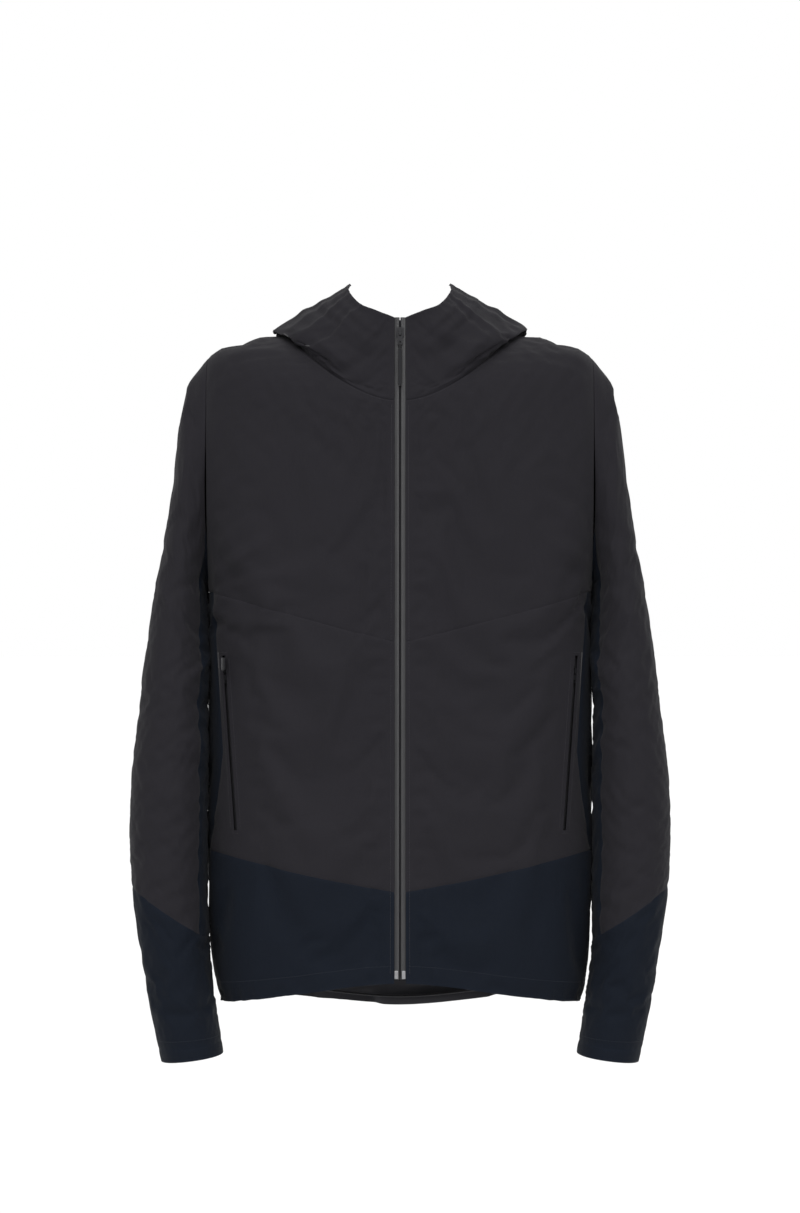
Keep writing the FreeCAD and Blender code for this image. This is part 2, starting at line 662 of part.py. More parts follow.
def hood_sheet(first, last):
    """Sheet of the collar or hood between two edges, from the neckline over the fold to the rim.

    An edge is a position round the neck, given for each row by a function of the row."""
    left, right = first(HOOD_ROWS / 2), last(HOOD_ROWS / 2)
    count = round((right - left) * HOOD_COLUMNS_PER_SECTION)
    sections = [hood_section(left + (right - left) * k / count) for k in range(count + 1)]
    shape = [list(row) for row in zip(*sections)]
    limit = 2 * len(HOOD_SECTIONS)
    grid = []
    for row in framed(row_positions(shape, 0, HOOD_ROWS, HOOD_ROW_SPACING), HOOD_ROWS):
        start, step = first(row), (last(row) - first(row)) / count
        places = framed([start + step * k for k in range(count + 1)], limit)
        grid.append([hood_point(row, place) for place in places])
    return sheet_solid(grid, size("fabric"), frame=1)


def make_hood():
    """Left and right collar, both side panels of the hood and its centre panel."""
    seam, gap = size("hood_seam_depth"), size("hood_seam_gap")
    collar = hood_sheet(lambda row: 0, lambda row: collar_seam(row, seam))
    keep_pair("collar", add_form("collar_sheet", collar))
    side_end = HOOD_CENTRE_START - HOOD_SEAM_SHARE
    side = hood_sheet(lambda row: collar_seam(row, seam + gap), lambda row: side_end)
    keep_pair("hood_side", add_form("hood_side_sheet", side))
    centre_end = 2 * len(HOOD_SECTIONS) - HOOD_CENTRE_START
    centre = hood_sheet(lambda row: HOOD_CENTRE_START, lambda row: centre_end)
    keep("hood_centre", add_form("hood_centre_sheet", centre))


def make_neck_tape():
    """Tape that covers the neckline seam inside, open at the front."""
    last = len(torso_rows) - 1
    rows = dense_rows(torso_rows, last - size("neck_tape_width"), last)
    grid = [row[NECK_TAPE_SKIP:-NECK_TAPE_SKIP] for row in rows]
    tape = sheet_solid(grid, size("fabric"), size("neck_tape_inset"))
    keep("neck_tape", add_form("neck_tape_sheet", tape))


# ---------------------------------------------------------------------------------------------
# PartDesign helpers
# ---------------------------------------------------------------------------------------------
def new_body(name):
    """Empty PartDesign body."""
    return doc.addObject("PartDesign::Body", name)


def sketch_on(body, role, name, offset="0"):
    """Sketch on one of the body's own origin planes, raised by an expression."""
    plane = next(feature for feature in body.Origin.OriginFeatures if feature.Role == role)
    sketch = body.newObject("Sketcher::SketchObject", name)
    sketch.AttachmentSupport = [(plane, "")]
    sketch.MapMode = "FlatFace"
    sketch.setExpression("AttachmentOffset.Base.z", offset)
    return sketch


def draw_rectangle(sketch, left, bottom, right, top):
    """Rectangle between two corners, each coordinate an expression."""
    draw_outline(sketch, [(left, bottom), (right, bottom), (right, top), (left, top)])


def draw_circle(sketch, across, up, radius):
    """Circle with its centre and radius bound to expressions."""
    centre = Vector(value_of(across), value_of(up), 0)
    circle = sketch.addGeometry(Part.Circle(centre, Vector(0, 0, 1), value_of(radius)))
    fix_value(sketch, Sketcher.Constraint("Radius", circle, value_of(radius)), radius)
    for kind, value, expression in (("DistanceX", centre.x, across), ("DistanceY", centre.y, up)):
        fix_value(sketch, Sketcher.Constraint(kind, -1, 1, circle, 3, value), expression)


def extrude(body, kind, sketch, length, reverse=False):
    """Pad or pocket of a sketch, its length an expression."""
    feature = body.newObject(f"PartDesign::{kind}", f"{sketch.Name}_{kind.lower()}")
    feature.Profile = sketch
    feature.Reversed = reverse
    feature.setExpression("Length", length)
    doc.recompute()
    return feature


def round_upright_edges(body, radius, longest):
    """Fillet the edges along the body's Z axis that are shorter than a length."""
    tip = body.Tip
    names = []
    for number, edge in enumerate(tip.Shape.Edges, start=1):
        start, end = edge.Vertexes[0].Point, edge.Vertexes[-1].Point
        upright = abs(start.x - end.x) < 1e-6 and abs(start.y - end.y) < 1e-6
        if upright and edge.Length < longest:
            names.append(f"Edge{number}")
    fillet = body.newObject("PartDesign::Fillet", f"{body.Name}_fillet")
    fillet.Base = (tip, names)
    fillet.setExpression("Radius", radius)
    doc.recompute()


# ---------------------------------------------------------------------------------------------
# Zips
# ---------------------------------------------------------------------------------------------
class ZipFrame:
    """Where a zip lies: X' across it, Y' into the jacket and Z' up along it, from its lower end."""

    def __init__(self, low, top, inwards, depth):
        along = top - low
        self.length = along.Length
        along.normalize()
        across = inwards.cross(along)
        across.normalize()
        into = along.cross(across)
        self.place = Placement(low + into * depth, Rotation(across, into, along, "ZXY"))

    def spot(self, across, into, up):
        """Placement of a primitive whose lowest corner has these coordinates in the frame."""
        return self.place.multiply(Placement(Vector(across, into, up), Rotation()))

    def body_spot(self, outwards, up):
        """Placement of a body whose X is across the zip, Y up along it and Z out of the jacket."""
        turn = Rotation(Vector(1, 0, 0), 90)
        return self.place.multiply(Placement(Vector(0, -outwards, up), turn))


def primitive_box(name, placement, length, width, height):
    """Part::Box with its three lengths bound to expressions."""
    block = doc.addObject("Part::Box", name)
    for side, expression in (("Length", length), ("Width", width), ("Height", height)):
        block.setExpression(side, expression)
    block.Placement = placement
    return block


def make_tape(name, frame, half_width):
    """The left half of a zip tape."""
    low_end = -size("tape_overhang")
    tape = primitive_box(name, frame.spot(size("tape_gap_half"), size("tape_depth"), low_end),
                         f"dimensions.{half_width} - dimensions.tape_gap_half",
                         "dimensions.tape_thick", f"{frame.length} mm")
    return tape


def make_coil(name, frame):
    """The left coil, drawn as a rib with a comb of teeth; it stops short of both zip ends."""
    inner, outer = size("tape_gap_half"), size("tape_gap_half") + size("coil_width")
    root = outer - size("coil_rib")
    pitch, margin = size("coil_pitch"), size("coil_margin")
    teeth = int((frame.length - 2 * margin) / pitch)
    depth = size("coil_depth")
    outline = [Vector(outer, depth, margin)]
    for tooth in range(teeth):
        base = margin + tooth * pitch
        outline += [Vector(inner, depth, base), Vector(inner, depth, base + pitch / 2),
                    Vector(root, depth, base + pitch / 2), Vector(root, depth, base + pitch)]
    outline += [Vector(outer, depth, margin + teeth * pitch), outline[0]]
    comb = Part.Face(Part.makePolygon(outline)).extrude(Vector(0, size("coil_thick"), 0))
    coil = add_form(name, comb)
    coil.Placement = frame.place
    return coil


def make_slider(name, placement):
    """Slider: front and back plate joined by a bridge, and a bail with a window on the front."""
    body = new_body(name)
    half_width, half_length = "dimensions.slider_width / 2", "dimensions.slider_length / 2"
    front_floor = "dimensions.slider_front - dimensions.slider_plate"
    plates = sketch_on(body, "XY_Plane", f"{name}_front", front_floor)
    draw_rectangle(plates, f"-{half_width}", f"-{half_length}", half_width, half_length)
    extrude(body, "Pad", plates, "dimensions.slider_plate")
    round_upright_edges(body, "dimensions.slider_plate", 2 * size("slider_plate"))
    bridge = sketch_on(body, "XY_Plane", f"{name}_bridge", "-dimensions.slider_back")
    half_bridge = "dimensions.slider_bridge / 2"
    draw_rectangle(bridge, f"-{half_bridge}", "0", half_bridge, half_length)
    extrude(body, "Pad", bridge, f"dimensions.slider_back + {front_floor}")
    back = sketch_on(body, "XY_Plane", f"{name}_back", "-dimensions.slider_back")
    draw_rectangle(back, f"-{half_width}", f"-{half_length}", half_width, half_length)
    extrude(body, "Pad", back, "dimensions.slider_plate", reverse=True)
    bail = sketch_on(body, "XY_Plane", f"{name}_bail", "dimensions.slider_front")
    half_bail, bail_end = "dimensions.bail_width / 2", "dimensions.bail_length / 2"
    draw_rectangle(bail, f"-{half_bail}", f"-{bail_end}", half_bail, bail_end)
    extrude(body, "Pad", bail, "dimensions.bail_height")
    window = sketch_on(body, "YZ_Plane", f"{name}_window", f"-dimensions.slider_width / 2")
    window_end = "dimensions.bail_window_length / 2"
    window_floor = "dimensions.slider_front + dimensions.bail_window_rise"
    draw_rectangle(window, f"-{window_end}", window_floor, window_end,
                   f"{window_floor} + dimensions.bail_window_height")
    solid_before = body.Shape.Volume
    extrude(body, "Pocket", window, "dimensions.slider_width", reverse=True)
    assert body.Shape.Volume < solid_before, "the window must cut the bail"
    body.Placement = placement
    return body


def make_pull(name, placement):
    """Zip pull: a flat frame whose crossbar passes through the bail, with an eye for a cord."""
    body = new_body(name)
    outline = sketch_on(body, "XY_Plane", f"{name}_outline", "-dimensions.pull_thick / 2")
    half, bar = "dimensions.pull_width / 2", "dimensions.pull_thick / 2"
    draw_rectangle(outline, f"-{half}", f"{bar} - dimensions.pull_length", half, bar)
    extrude(body, "Pad", outline, "dimensions.pull_thick")
    round_upright_edges(body, "dimensions.pull_thick", 2 * size("pull_thick"))
    cut = sketch_on(body, "XY_Plane", f"{name}_cut", "dimensions.pull_thick / 2")
    half_window = "dimensions.pull_window_width / 2"
    draw_rectangle(cut, f"-{half_window}", f"-{bar} - dimensions.pull_window_length",
                   half_window, f"-{bar}")
    draw_circle(cut, "0", "-dimensions.cord_eye_drop", "dimensions.pull_eye")
    solid_before = body.Shape.Volume
    extrude(body, "Pocket", cut, "dimensions.pull_thick")
    assert body.Shape.Volume < solid_before, "the window and the eye must cut the pull"
    body.Placement = placement
    return body


def make_pull_cord(name, placement):
    """Cord through the eye of the pull, both strands held by a moulded grip."""
    radius, spread = size("pull_cord_radius"), size("pull_cord_spread")
    drop, turn_middle = -size("grip_drop"), -size("cord_eye_drop") - size("pull_cord_spread")
    front = Part.LineSegment(Vector(0, drop - spread, spread), Vector(0, turn_middle, spread))
    bend = Part.Arc(Vector(0, turn_middle, spread), Vector(0, turn_middle + spread, 0),
                    Vector(0, turn_middle, -spread))
    back = Part.LineSegment(Vector(0, turn_middle, -spread), Vector(0, drop - spread, -spread))
    path = Part.Wire([curve.toShape() for curve in (front, bend, back)])
    profile = Part.Wire(Part.makeCircle(radius, Vector(0, drop - spread, spread), Vector(0, 1, 0)))
    strand = path.makePipeShell([profile], True, True)
    width, thick, length = size("grip_width"), size("grip_thick"), size("grip_length")
    grip = Part.makeBox(width, length, thick, Vector(-width / 2, drop - length, -thick / 2))
    grip = grip.makeFillet(radius, grip.Edges)
    cord = add_form(name, strand.fuse(grip))
    cord.Placement = placement
    return cord


def make_zip_end(name, frame, across):
    """Small metal block at the zip's lower end, in the slot: retainer box or pin plate."""
    block = primitive_box(f"{name}_block", frame.spot(across, -size("end_rise"), size("end_rise")),
                          "dimensions.end_width", "dimensions.end_thick", "dimensions.end_length")
    rounded = doc.addObject("Part::Fillet", name)
    rounded.Base = block
    doc.recompute()
    radius = size("end_thick") / 4
    rounded.Edges = [(number, radius, radius) for number in range(1, len(block.Shape.Edges) + 1)]
    return rounded


def make_stops(name, frame):
    """Two top stops above the coils."""
    stops = []
    up = frame.length - size("coil_margin") + size("stop_rise")
    for side in (1, -1):
        across = size("tape_gap_half") if side > 0 else -size("tape_gap_half") - size("coil_width")
        stops.append(primitive_box(f"{name}_{len(stops)}", frame.spot(across, size("coil_depth"), up),
                                   "dimensions.coil_width", "dimensions.coil_thick",
                                   "dimensions.stop_length"))
    group = doc.addObject("Part::Compound", name)
    group.Links = stops
    return group


def make_front_zip():
    """Everything on the centre front line, from the hem to the collar."""
    low = Vector(0, -size("zip_low_depth"), size("zip_low_level"))
    top = Vector(0, -size("zip_top_depth"), size("zip_top_level"))
    frame = ZipFrame(low, top, Vector(0, 1, 0), 0)
    keep_pair("zip_tape", make_tape("front_tape", frame, "tape_half"))
    keep_pair("zip_coil", make_coil("front_coil", frame))
    rest = frame.length - size("slider_rest")
    keep("zip_slider", make_slider("front_slider", frame.body_spot(0, rest)))
    crossbar = size("slider_front") + size("bail_window_rise") + size("bail_window_height") / 2
    pull_spot = frame.body_spot(crossbar, rest)
    keep("zip_pull", make_pull("front_pull", pull_spot))
    keep("zip_pull_cord", make_pull_cord("front_pull_cord", pull_spot))
    keep("zip_top_stops", make_stops("front_stops", frame))
    inner, width = size("end_inner"), size("end_width")
    keep("zip_retainer_box", make_zip_end("front_retainer", frame, inner))
    keep("zip_insertion_pin", make_zip_end("front_pin", frame, -inner - width))
    flap = primitive_box("front_flap", frame.spot(-size("flap_half"), size("flap_depth"), 0),
                         "2 * dimensions.flap_half", "dimensions.fabric", f"{frame.length} mm")
    keep("storm_flap", flap)
    return frame


# ---------------------------------------------------------------------------------------------
# Pockets
# ---------------------------------------------------------------------------------------------
def front_surface_point(side, level):
    """Point of the front's outer face at a distance from the centre and a height, and its normal."""
    surface = surface_through(torso_grid)
    ray = Part.LineSegment(Vector(side, 0, level), Vector(side, -size("reach"), level))
    found = surface.intersect(ray)[0][0]
    point = Vector(found.X, found.Y, found.Z)
    across, along = surface.parameter(point)
    normal = surface.normal(across, along)
    return point, normal if normal.y < 0 else normal * -1


def make_pocket(front_body):
    """Left hand pocket: slot in the front body, zip and mesh bag; returns the zip's frame."""
    low, low_normal = front_surface_point(size("pocket_low_side"), size("pocket_low_level"))
    top, top_normal = front_surface_point(size("pocket_top_side"), size("pocket_top_level"))
    inwards = (low_normal + top_normal) * -0.5
    face = ZipFrame(low, top, inwards, 0)
    reach = size("slot_reach")
    slot = primitive_box("pocket_slot", face.spot(-size("pocket_slot_half"), -reach, 0),
                         "2 * dimensions.pocket_slot_half", "2 * dimensions.slot_reach",
                         f"{face.length} mm")
    keep_pair("front_body", combine("Part::Cut", "front_body_with_slot", front_body, slot))

    frame = ZipFrame(low, top, inwards, size("pocket_zip_depth"))
    tape = primitive_box("pocket_tape_strip", frame.spot(-size("pocket_tape_half"), size("tape_depth"), 0),
                         "2 * dimensions.pocket_tape_half", "dimensions.tape_thick",
                         f"{frame.length} mm")
    gap_length = frame.length - 2 * size("pocket_zip_end")
    gap = primitive_box("pocket_tape_gap", frame.spot(-size("tape_gap_half"), 0, size("pocket_zip_end")),
                        "2 * dimensions.tape_gap_half", "dimensions.slot_reach", f"{gap_length} mm")
    keep_pair("pocket_tape", combine("Part::Cut", "pocket_tape_piece", tape, gap))
    rest = frame.length - size("slider_rest")
    keep_pair("pocket_slider", make_slider("pocket_slider_body", frame.body_spot(0, rest)))
    crossbar = size("slider_front") + size("bail_window_rise") + size("bail_window_height") / 2
    keep_pair("pocket_pull", make_pull("pocket_pull_body", frame.body_spot(crossbar, rest)))
    return face, frame


def bag_block(name, spare):
    """Block round the bag's outline, smaller by spare on every side."""
    return seam_block(name, [
        (f"dimensions.bag_inner_side + {spare}", f"dimensions.bag_low_level + {spare}"),
        (f"dimensions.bag_outer_side - {spare}", f"dimensions.bag_low_level + {spare}"),
        (f"dimensions.bag_outer_side - {spare}", f"dimensions.bag_top_level - {spare}"),
        (f"dimensions.bag_inner_side + {spare}", f"dimensions.bag_top_level - {spare}")], front=True)


def make_pocket_bag(face):
    """Left mesh bag, hollow, with its mouth behind the pocket zip."""
    inset, wall, depth = size("bag_inset"), size("bag_wall"), size("bag_depth")
    outside = add_form("bag_outside_sheet", sheet_solid(torso_grid, depth, inset))
    inside = add_form("bag_inside_sheet", sheet_solid(torso_grid, depth - 2 * wall, inset + wall))
    whole = combine("Part::Common", "bag_whole", outside, bag_block("bag_outer", "0"))
    hollow = combine("Part::Common", "bag_hollow", inside, bag_block("bag_inner", "dimensions.bag_seam"))
    closed = combine("Part::Cut", "bag_closed", whole, hollow)
    mouth = primitive_box("bag_mouth", face.spot(-size("pocket_slot_half"), inset - depth,
                                                 size("pocket_zip_end")),
                          "2 * dimensions.pocket_slot_half", "dimensions.bag_mouth_reach",
                          f"{face.length - 2 * size('pocket_zip_end')} mm")
    keep_pair("pocket_bag", combine("Part::Cut", "bag_open", closed, mouth))


# ---------------------------------------------------------------------------------------------
# Drawcords, cord locks and hanger loop
# ---------------------------------------------------------------------------------------------
def hem_cord_path():
    """Points of the hem cord, from the left front round the back to the right front."""
    inner = offset_grid(torso_grid, -size("cord_inset"))
    step = inner[1][0].z - inner[0][0].z
    share = size("cord_rise") / step
    row = [low + (high - low) * share for low, high in zip(inner[0], inner[1])]
    return row[HEM_CORD_SKIP:-HEM_CORD_SKIP]


def make_hem_cord():
    """The hem's elastic drawcord; returns the curve that it follows."""
    curve = Part.BSplineCurve()
    curve.interpolate(hem_cord_path())
    path = Part.Wire(curve.toShape())
    start, direction = curve.value(curve.FirstParameter), curve.tangent(curve.FirstParameter)[0]
    profile = Part.Wire(Part.makeCircle(size("cord_radius"), start, direction))
    keep("hem_cord", add_form("hem_cord_pipe", path.makePipeShell([profile], True, True)))
    return curve


def make_lock_body(name, placement):
    """Barrel of a cord lock: a well for the button above a hole for the cord."""
    body = new_body(name)
    barrel = sketch_on(body, "XY_Plane", f"{name}_barrel")
    draw_circle(barrel, "0", "0", "dimensions.lock_radius")
    extrude(body, "Pad", barrel, "dimensions.lock_height")
    well = sketch_on(body, "XY_Plane", f"{name}_well", "dimensions.lock_height")
    draw_circle(well, "0", "0", "dimensions.lock_well_radius")
    extrude(body, "Pocket", well, "dimensions.lock_well_depth")
    hole = sketch_on(body, "YZ_Plane", f"{name}_hole", "-dimensions.lock_radius")
    draw_circle(hole, "0", "dimensions.lock_cord_level", "dimensions.lock_cord_hole")
    solid_before = body.Shape.Volume
    extrude(body, "Pocket", hole, "2 * dimensions.lock_radius", reverse=True)
    assert body.Shape.Volume < solid_before, "the cord hole must cut the barrel"
    body.Placement = placement
    return body


def make_lock_button(name, placement):
    """Button of a cord lock, standing in the well with its travel under it."""
    body = new_body(name)
    floor = ("dimensions.lock_height - dimensions.lock_well_depth + dimensions.button_travel"
             " + dimensions.button_floor")
    disc = sketch_on(body, "XY_Plane", f"{name}_disc", floor)
    draw_circle(disc, "0", "0", "dimensions.button_radius")
    extrude(body, "Pad", disc, "dimensions.button_height")
    body.Placement = placement
    return body


def lock_placement(point, tangent):
    """Placement of a cord lock whose hole has its middle at point, along tangent."""
    across = Vector(tangent)
    across.normalize()
    sideways = Vector(0, 0, 1).cross(across)
    sideways.normalize()
    upright = across.cross(sideways)
    turn = Rotation(across, sideways, upright, "XYZ")
    return Placement(point - upright * size("lock_cord_level"), turn)


def make_cord_locks(hem_curve):
    """Cord locks of the hem, left and right, and the one at the back of the hood."""
    share = HEM_LOCK_SHARE
    at = hem_curve.FirstParameter + share * (hem_curve.LastParameter - hem_curve.FirstParameter)
    place = lock_placement(hem_curve.value(at), hem_curve.tangent(at)[0])
    keep_pair("hem_cord_lock", make_lock_body("hem_lock", place))
    keep_pair("hem_lock_button", make_lock_button("hem_button", place))
    middle = Vector(0, size("hood_lock_depth"), size("hood_lock_level"))
    place = lock_placement(middle, Vector(1, 0, 0))
    keep("hood_cord_lock", make_lock_body("hood_lock", place))
    keep("hood_lock_button", make_lock_button("hood_button", place))
    cord = doc.addObject("Part::Cylinder", "hood_cord_stem")
    cord.setExpression("Radius", "dimensions.cord_radius")
    cord.setExpression("Height", "dimensions.hood_cord_length")
    turn = Rotation(Vector(0, 1, 0), 90)
    cord.Placement = Placement(middle - Vector(size("hood_cord_length") / 2, 0, 0), turn)
    keep("hood_cord", cord)


def make_hanger_loop():
    """Bowed strip of tape inside the back of the neck."""
    half, sag, depth = size("loop_span") / 2, size("loop_sag"), size("loop_depth")
    thick, level = size("loop_tape"), size("loop_level")
    edges = []
    for step in (0, thick):
        first, last = Vector(-half, depth - step, level), Vector(half, depth - step, level)
        bow = Part.Arc(first, Vector(0, depth - sag - step, level), last)
        edges.append(bow.toShape())
    face = Part.makeRuledSurface(edges[0], edges[1])
    keep("hanger_loop", add_form("hanger_loop_strip", face.extrude(Vector(0, 0, size("loop_width")))))


# ---------------------------------------------------------------------------------------------
# Assembly and export
# ---------------------------------------------------------------------------------------------
def check_document():
    """Stop if any object failed or any sub-part is empty or invalid."""
    for item in doc.Objects:
        if "Invalid" in item.State or "Error" in item.State:
            raise RuntimeError(f"{item.Name} failed: {item.State}")
    for node, piece in pieces.items():
        shape = piece.Shape
        if shape.isNull() or not shape.isValid() or not shape.Solids:
            raise RuntimeError(f"{node} has no valid solid")


def main():
    """Build every sub-part, check the document and write one STEP file per sub-part."""
    front_body = make_front_panels()
    make_side_panels()
    make_back_panels()
    make_sleeves()
    make_hood()
    make_neck_tape()
    make_hanger_loop()
    make_front_zip()
    doc.recompute()
    pocket_face, _ = make_pocket(front_body)
    make_pocket_bag(pocket_face)
    make_cord_locks(make_hem_cord())
    doc.recompute()
    check_document()
    os.makedirs(OUT_FOLDER, exist_ok=True)
    for node, piece in pieces.items():
        piece.Shape.exportStep(os.path.join(OUT_FOLDER, f"{node}.step"))


main()
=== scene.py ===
import math

import bmesh
import bpy
import numpy as np
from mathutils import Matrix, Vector
from mathutils.bvhtree import BVHTree


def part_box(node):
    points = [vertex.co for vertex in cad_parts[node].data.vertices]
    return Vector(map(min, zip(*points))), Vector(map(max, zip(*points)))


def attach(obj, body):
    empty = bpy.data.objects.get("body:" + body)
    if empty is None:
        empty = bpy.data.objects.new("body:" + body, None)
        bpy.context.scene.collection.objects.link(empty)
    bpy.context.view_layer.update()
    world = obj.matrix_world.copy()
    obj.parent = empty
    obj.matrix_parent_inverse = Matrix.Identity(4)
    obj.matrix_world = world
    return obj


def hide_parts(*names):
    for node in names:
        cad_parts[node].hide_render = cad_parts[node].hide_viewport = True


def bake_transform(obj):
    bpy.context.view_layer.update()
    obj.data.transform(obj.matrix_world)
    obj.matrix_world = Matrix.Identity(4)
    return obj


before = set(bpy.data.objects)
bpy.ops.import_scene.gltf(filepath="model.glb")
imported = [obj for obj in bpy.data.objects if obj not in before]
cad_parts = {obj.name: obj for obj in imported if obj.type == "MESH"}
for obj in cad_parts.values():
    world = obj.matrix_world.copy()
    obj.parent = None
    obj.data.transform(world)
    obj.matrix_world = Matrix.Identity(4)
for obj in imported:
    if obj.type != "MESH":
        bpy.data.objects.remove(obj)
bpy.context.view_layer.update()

# ---- The jacket's form in millimetres: the rings and sections are those of the CAD model
MM = 0.001
FABRIC = 0.8
CORNER_POWER = 2.5
SLEEVE_POWER = 2.2
ZIP_LOW_LEVEL, ZIP_LOW_DEPTH = 97, 148
ZIP_TOP_LEVEL, ZIP_TOP_DEPTH = 774, 100
ZIP_SLOT_HALF = 6
ARMHOLE_PLANE = 203
ARMHOLE_FLOOR = 470
ARMHOLE_GAP = 0.6
NECK_GAP = 0.4

# Torso rings: height at the front, side and back, half width, depth of the back
TORSO_RINGS = [
    (93, 63, 42, 190, 120), (184, 172, 165, 201.5, 114), (300, 300, 300, 202, 103),
    (410, 410, 410, 202, 104), (490, 490, 490, 202.5, 108), (590, 600, 600, 216, 110),
    (645, 690, 668, 219, 106), (668, 736, 708, 206, 98), (680, 756, 740, 160, 86),
    (688, 764, 766, 114, 70),
]
# Sleeve rings: outer x and z, inner x and z, middle y, half depth
SLEEVE_RINGS = [
    (226, 704, 205, 506, 1, 59), (241, 602, 207, 498, -1, 62), (249, 545, 207, 465, -8, 61.5),
    (257, 500, 206, 432, -17, 60), (270, 398, 203.5, 385, -33, 58), (282, 270, 201, 262, -46, 56),
    (279.5, 186, 200, 133, -52, 52), (266, 90, 194, 76, -54, 48.5), (252, 16, 186, 24, -55, 45),
    (249, 3, 184.5, 11, -55, 44.5),
]
SLEEVE_SPLIT, SLEEVE_WRIST, SLEEVE_CUFF = 4.6, 7, 9
UNDER_START, UNDER_END = 145, 235
# Hood sections: angle round the neck, fold x, y, z, rim x, y, z, swell of the outer wall,
# rise of the inner wall's middle
HOOD_SECTIONS = [
    (22, 43, -101.5, 712, 25, -98.5, 782, 1, 0), (45, 82, -89.5, 739, 41, -84, 790, 3, 0),
    (67, 113, -60, 757, 53, -52, 806, 4, 1), (90, 134, 8, 769, 53, 0, 818, 4, 1),
    (120, 122, 82, 752, 62, 46, 812, 8, 5), (150, 78, 136, 672, 64, 104, 795, 14, 26),
    (180, 0, 140, 642, 0, 126, 778, 16, 30),
]
HOOD_FRONT_FOLD_LEVEL = 705
COLLAR_END, HOOD_CENTRE_START = 4.4, 6.2

# Seams of the torso seen from the front or the back: distance from the centre and height
CHEST_SEAM = [(0, 438), (196, 491), (232, 491)]
HEM_SEAM = [(0, 184), (197, 222), (232, 222)]
SIDE_SEAM = [(197, 222), (184.5, 325), (196, 491)]
BACK_YOKE_SEAM = [(0, 470), (190, 491), (232, 491)]
BACK_HEM_SEAM = [(0, 168), (190, 222), (232, 222)]
BACK_SIDE_SEAM = [(190, 222), (190, 491)]
FRONT_SEAMS = [CHEST_SEAM, HEM_SEAM, SIDE_SEAM]
BACK_SEAMS = [BACK_YOKE_SEAM, BACK_HEM_SEAM, BACK_SIDE_SEAM]
POCKET_LOW, POCKET_TOP = (169.5, 245), (183, 425)
POCKET_SLOT_HALF = 1.8
# A cut looks at the faces this near its line; a seam groove is cut along both its shoulders too
CUT_REACH, CUT_SPARE, GROOVE_SHOULDER = 9, 6.0, 1.6

# Finish of the sheets
TORSO_COLUMNS, TORSO_SPACING = 240, 4.2
SLEEVE_COLUMNS, SLEEVE_SPACING = 96, 4.0
HOOD_COLUMNS, HOOD_SPACING = 224, 3.4
GROOVE_DEPTH, GROOVE_WIDTH = 0.75, 1.3
CLOTH_STEP = 2
CLOTH_FRAMES = 22
CLOTH_CAP = 5.5
TORSO_SLACK, SLEEVE_SLACK, HOOD_SLACK = 0.014, 0.014, 0.018
START_WAVE_LENGTH, START_WAVE_HEIGHT = 90, 1.2


# ---- Surfaces as grids of points
def smooth(value):
    """Smooth step from 0 to 1."""
    value = np.clip(value, 0.0, 1.0)
    return value * value * (3 - 2 * value)


def hermite(keys, positions):
    """Smooth curves through the rows of keys (rows, columns, 3), at the given row positions."""
    positions = np.asarray(positions, float)
    count = len(keys)
    index = np.minimum(positions.astype(int), count - 2)
    share = (positions - index)[:, None, None]
    lengths = np.maximum(np.linalg.norm(np.diff(keys, axis=0), axis=2), 1e-6)
    slopes = np.empty_like(keys)
    for k in range(count):
        before, after = max(k - 1, 0), min(k + 1, count - 1)
        slopes[k] = (keys[after] - keys[before]) / lengths[before:after].sum(axis=0)[:, None]
    span = lengths[index][..., None]
    square, cube = share ** 2, share ** 3
    return (keys[index] * (2 * cube - 3 * square + 1) + keys[index + 1] * (3 * square - 2 * cube)
            + slopes[index] * span * (cube - 2 * square + share)
            + slopes[index + 1] * span * (cube - square))


def even_positions(keys, first, last, spacing):
    """Row positions from first to last that lie about the same distance apart on the surface."""
    lengths = np.linalg.norm(np.diff(keys, axis=0), axis=2).mean(axis=1)
    travel = np.concatenate([[0], np.cumsum(lengths)])
    start, end = np.interp([first, last], np.arange(len(keys)), travel)
    count = max(2, round((end - start) / spacing))
    return np.interp(np.linspace(start, end, count + 1), travel, np.arange(len(keys)))


def grid_normals(grid, closed=False):
    """Unit normals of a grid, pointing out of the jacket."""
    along = np.gradient(grid, axis=0)
    if closed:
        around = (np.roll(grid, -1, axis=1) - np.roll(grid, 1, axis=1)) / 2
    else:
        around = np.gradient(grid, axis=1)
    normals = np.cross(around, along)
    return normals / np.maximum(np.linalg.norm(normals, axis=2, keepdims=True), 1e-9)


def arc_uv(grid):
    """Arc lengths across and along the grid, used to lay the weave on the cloth."""
    across = np.linalg.norm(np.diff(grid, axis=1), axis=2).mean(axis=0)
    along = np.linalg.norm(np.diff(grid, axis=0), axis=2).mean(axis=1)
    u = np.concatenate([[0], np.cumsum(across)])
    v = np.concatenate([[0], np.cumsum(along)])
    return np.stack(np.meshgrid(u, v), axis=2)


def zip_depth(level):
    """Distance of the straight front edge in front of the shoulder seams, at a height."""
    share = (level - ZIP_LOW_LEVEL) / (ZIP_TOP_LEVEL - ZIP_LOW_LEVEL)
    return ZIP_LOW_DEPTH + share * (ZIP_TOP_DEPTH - ZIP_LOW_DEPTH)


def torso_ring(ring, degrees):
    """Points of a torso ring; 0 degrees is the centre front, 90 the wearer's left side."""
    front, side, back, half_width, back_depth = ring
    sine, cosine = np.sin(np.radians(degrees)), np.cos(np.radians(degrees))
    depth = np.where(cosine > 0, zip_depth(front), back_depth)
    level = np.where(cosine > 0, front, back)
    spread = (np.abs(sine) / half_width) ** CORNER_POWER + (np.abs(cosine) / depth) ** CORNER_POWER
    radius = spread ** (-1.0 / CORNER_POWER)
    height = side + (level - side) * cosine ** 2
    return np.stack([radius * sine, -radius * cosine, height], axis=-1)


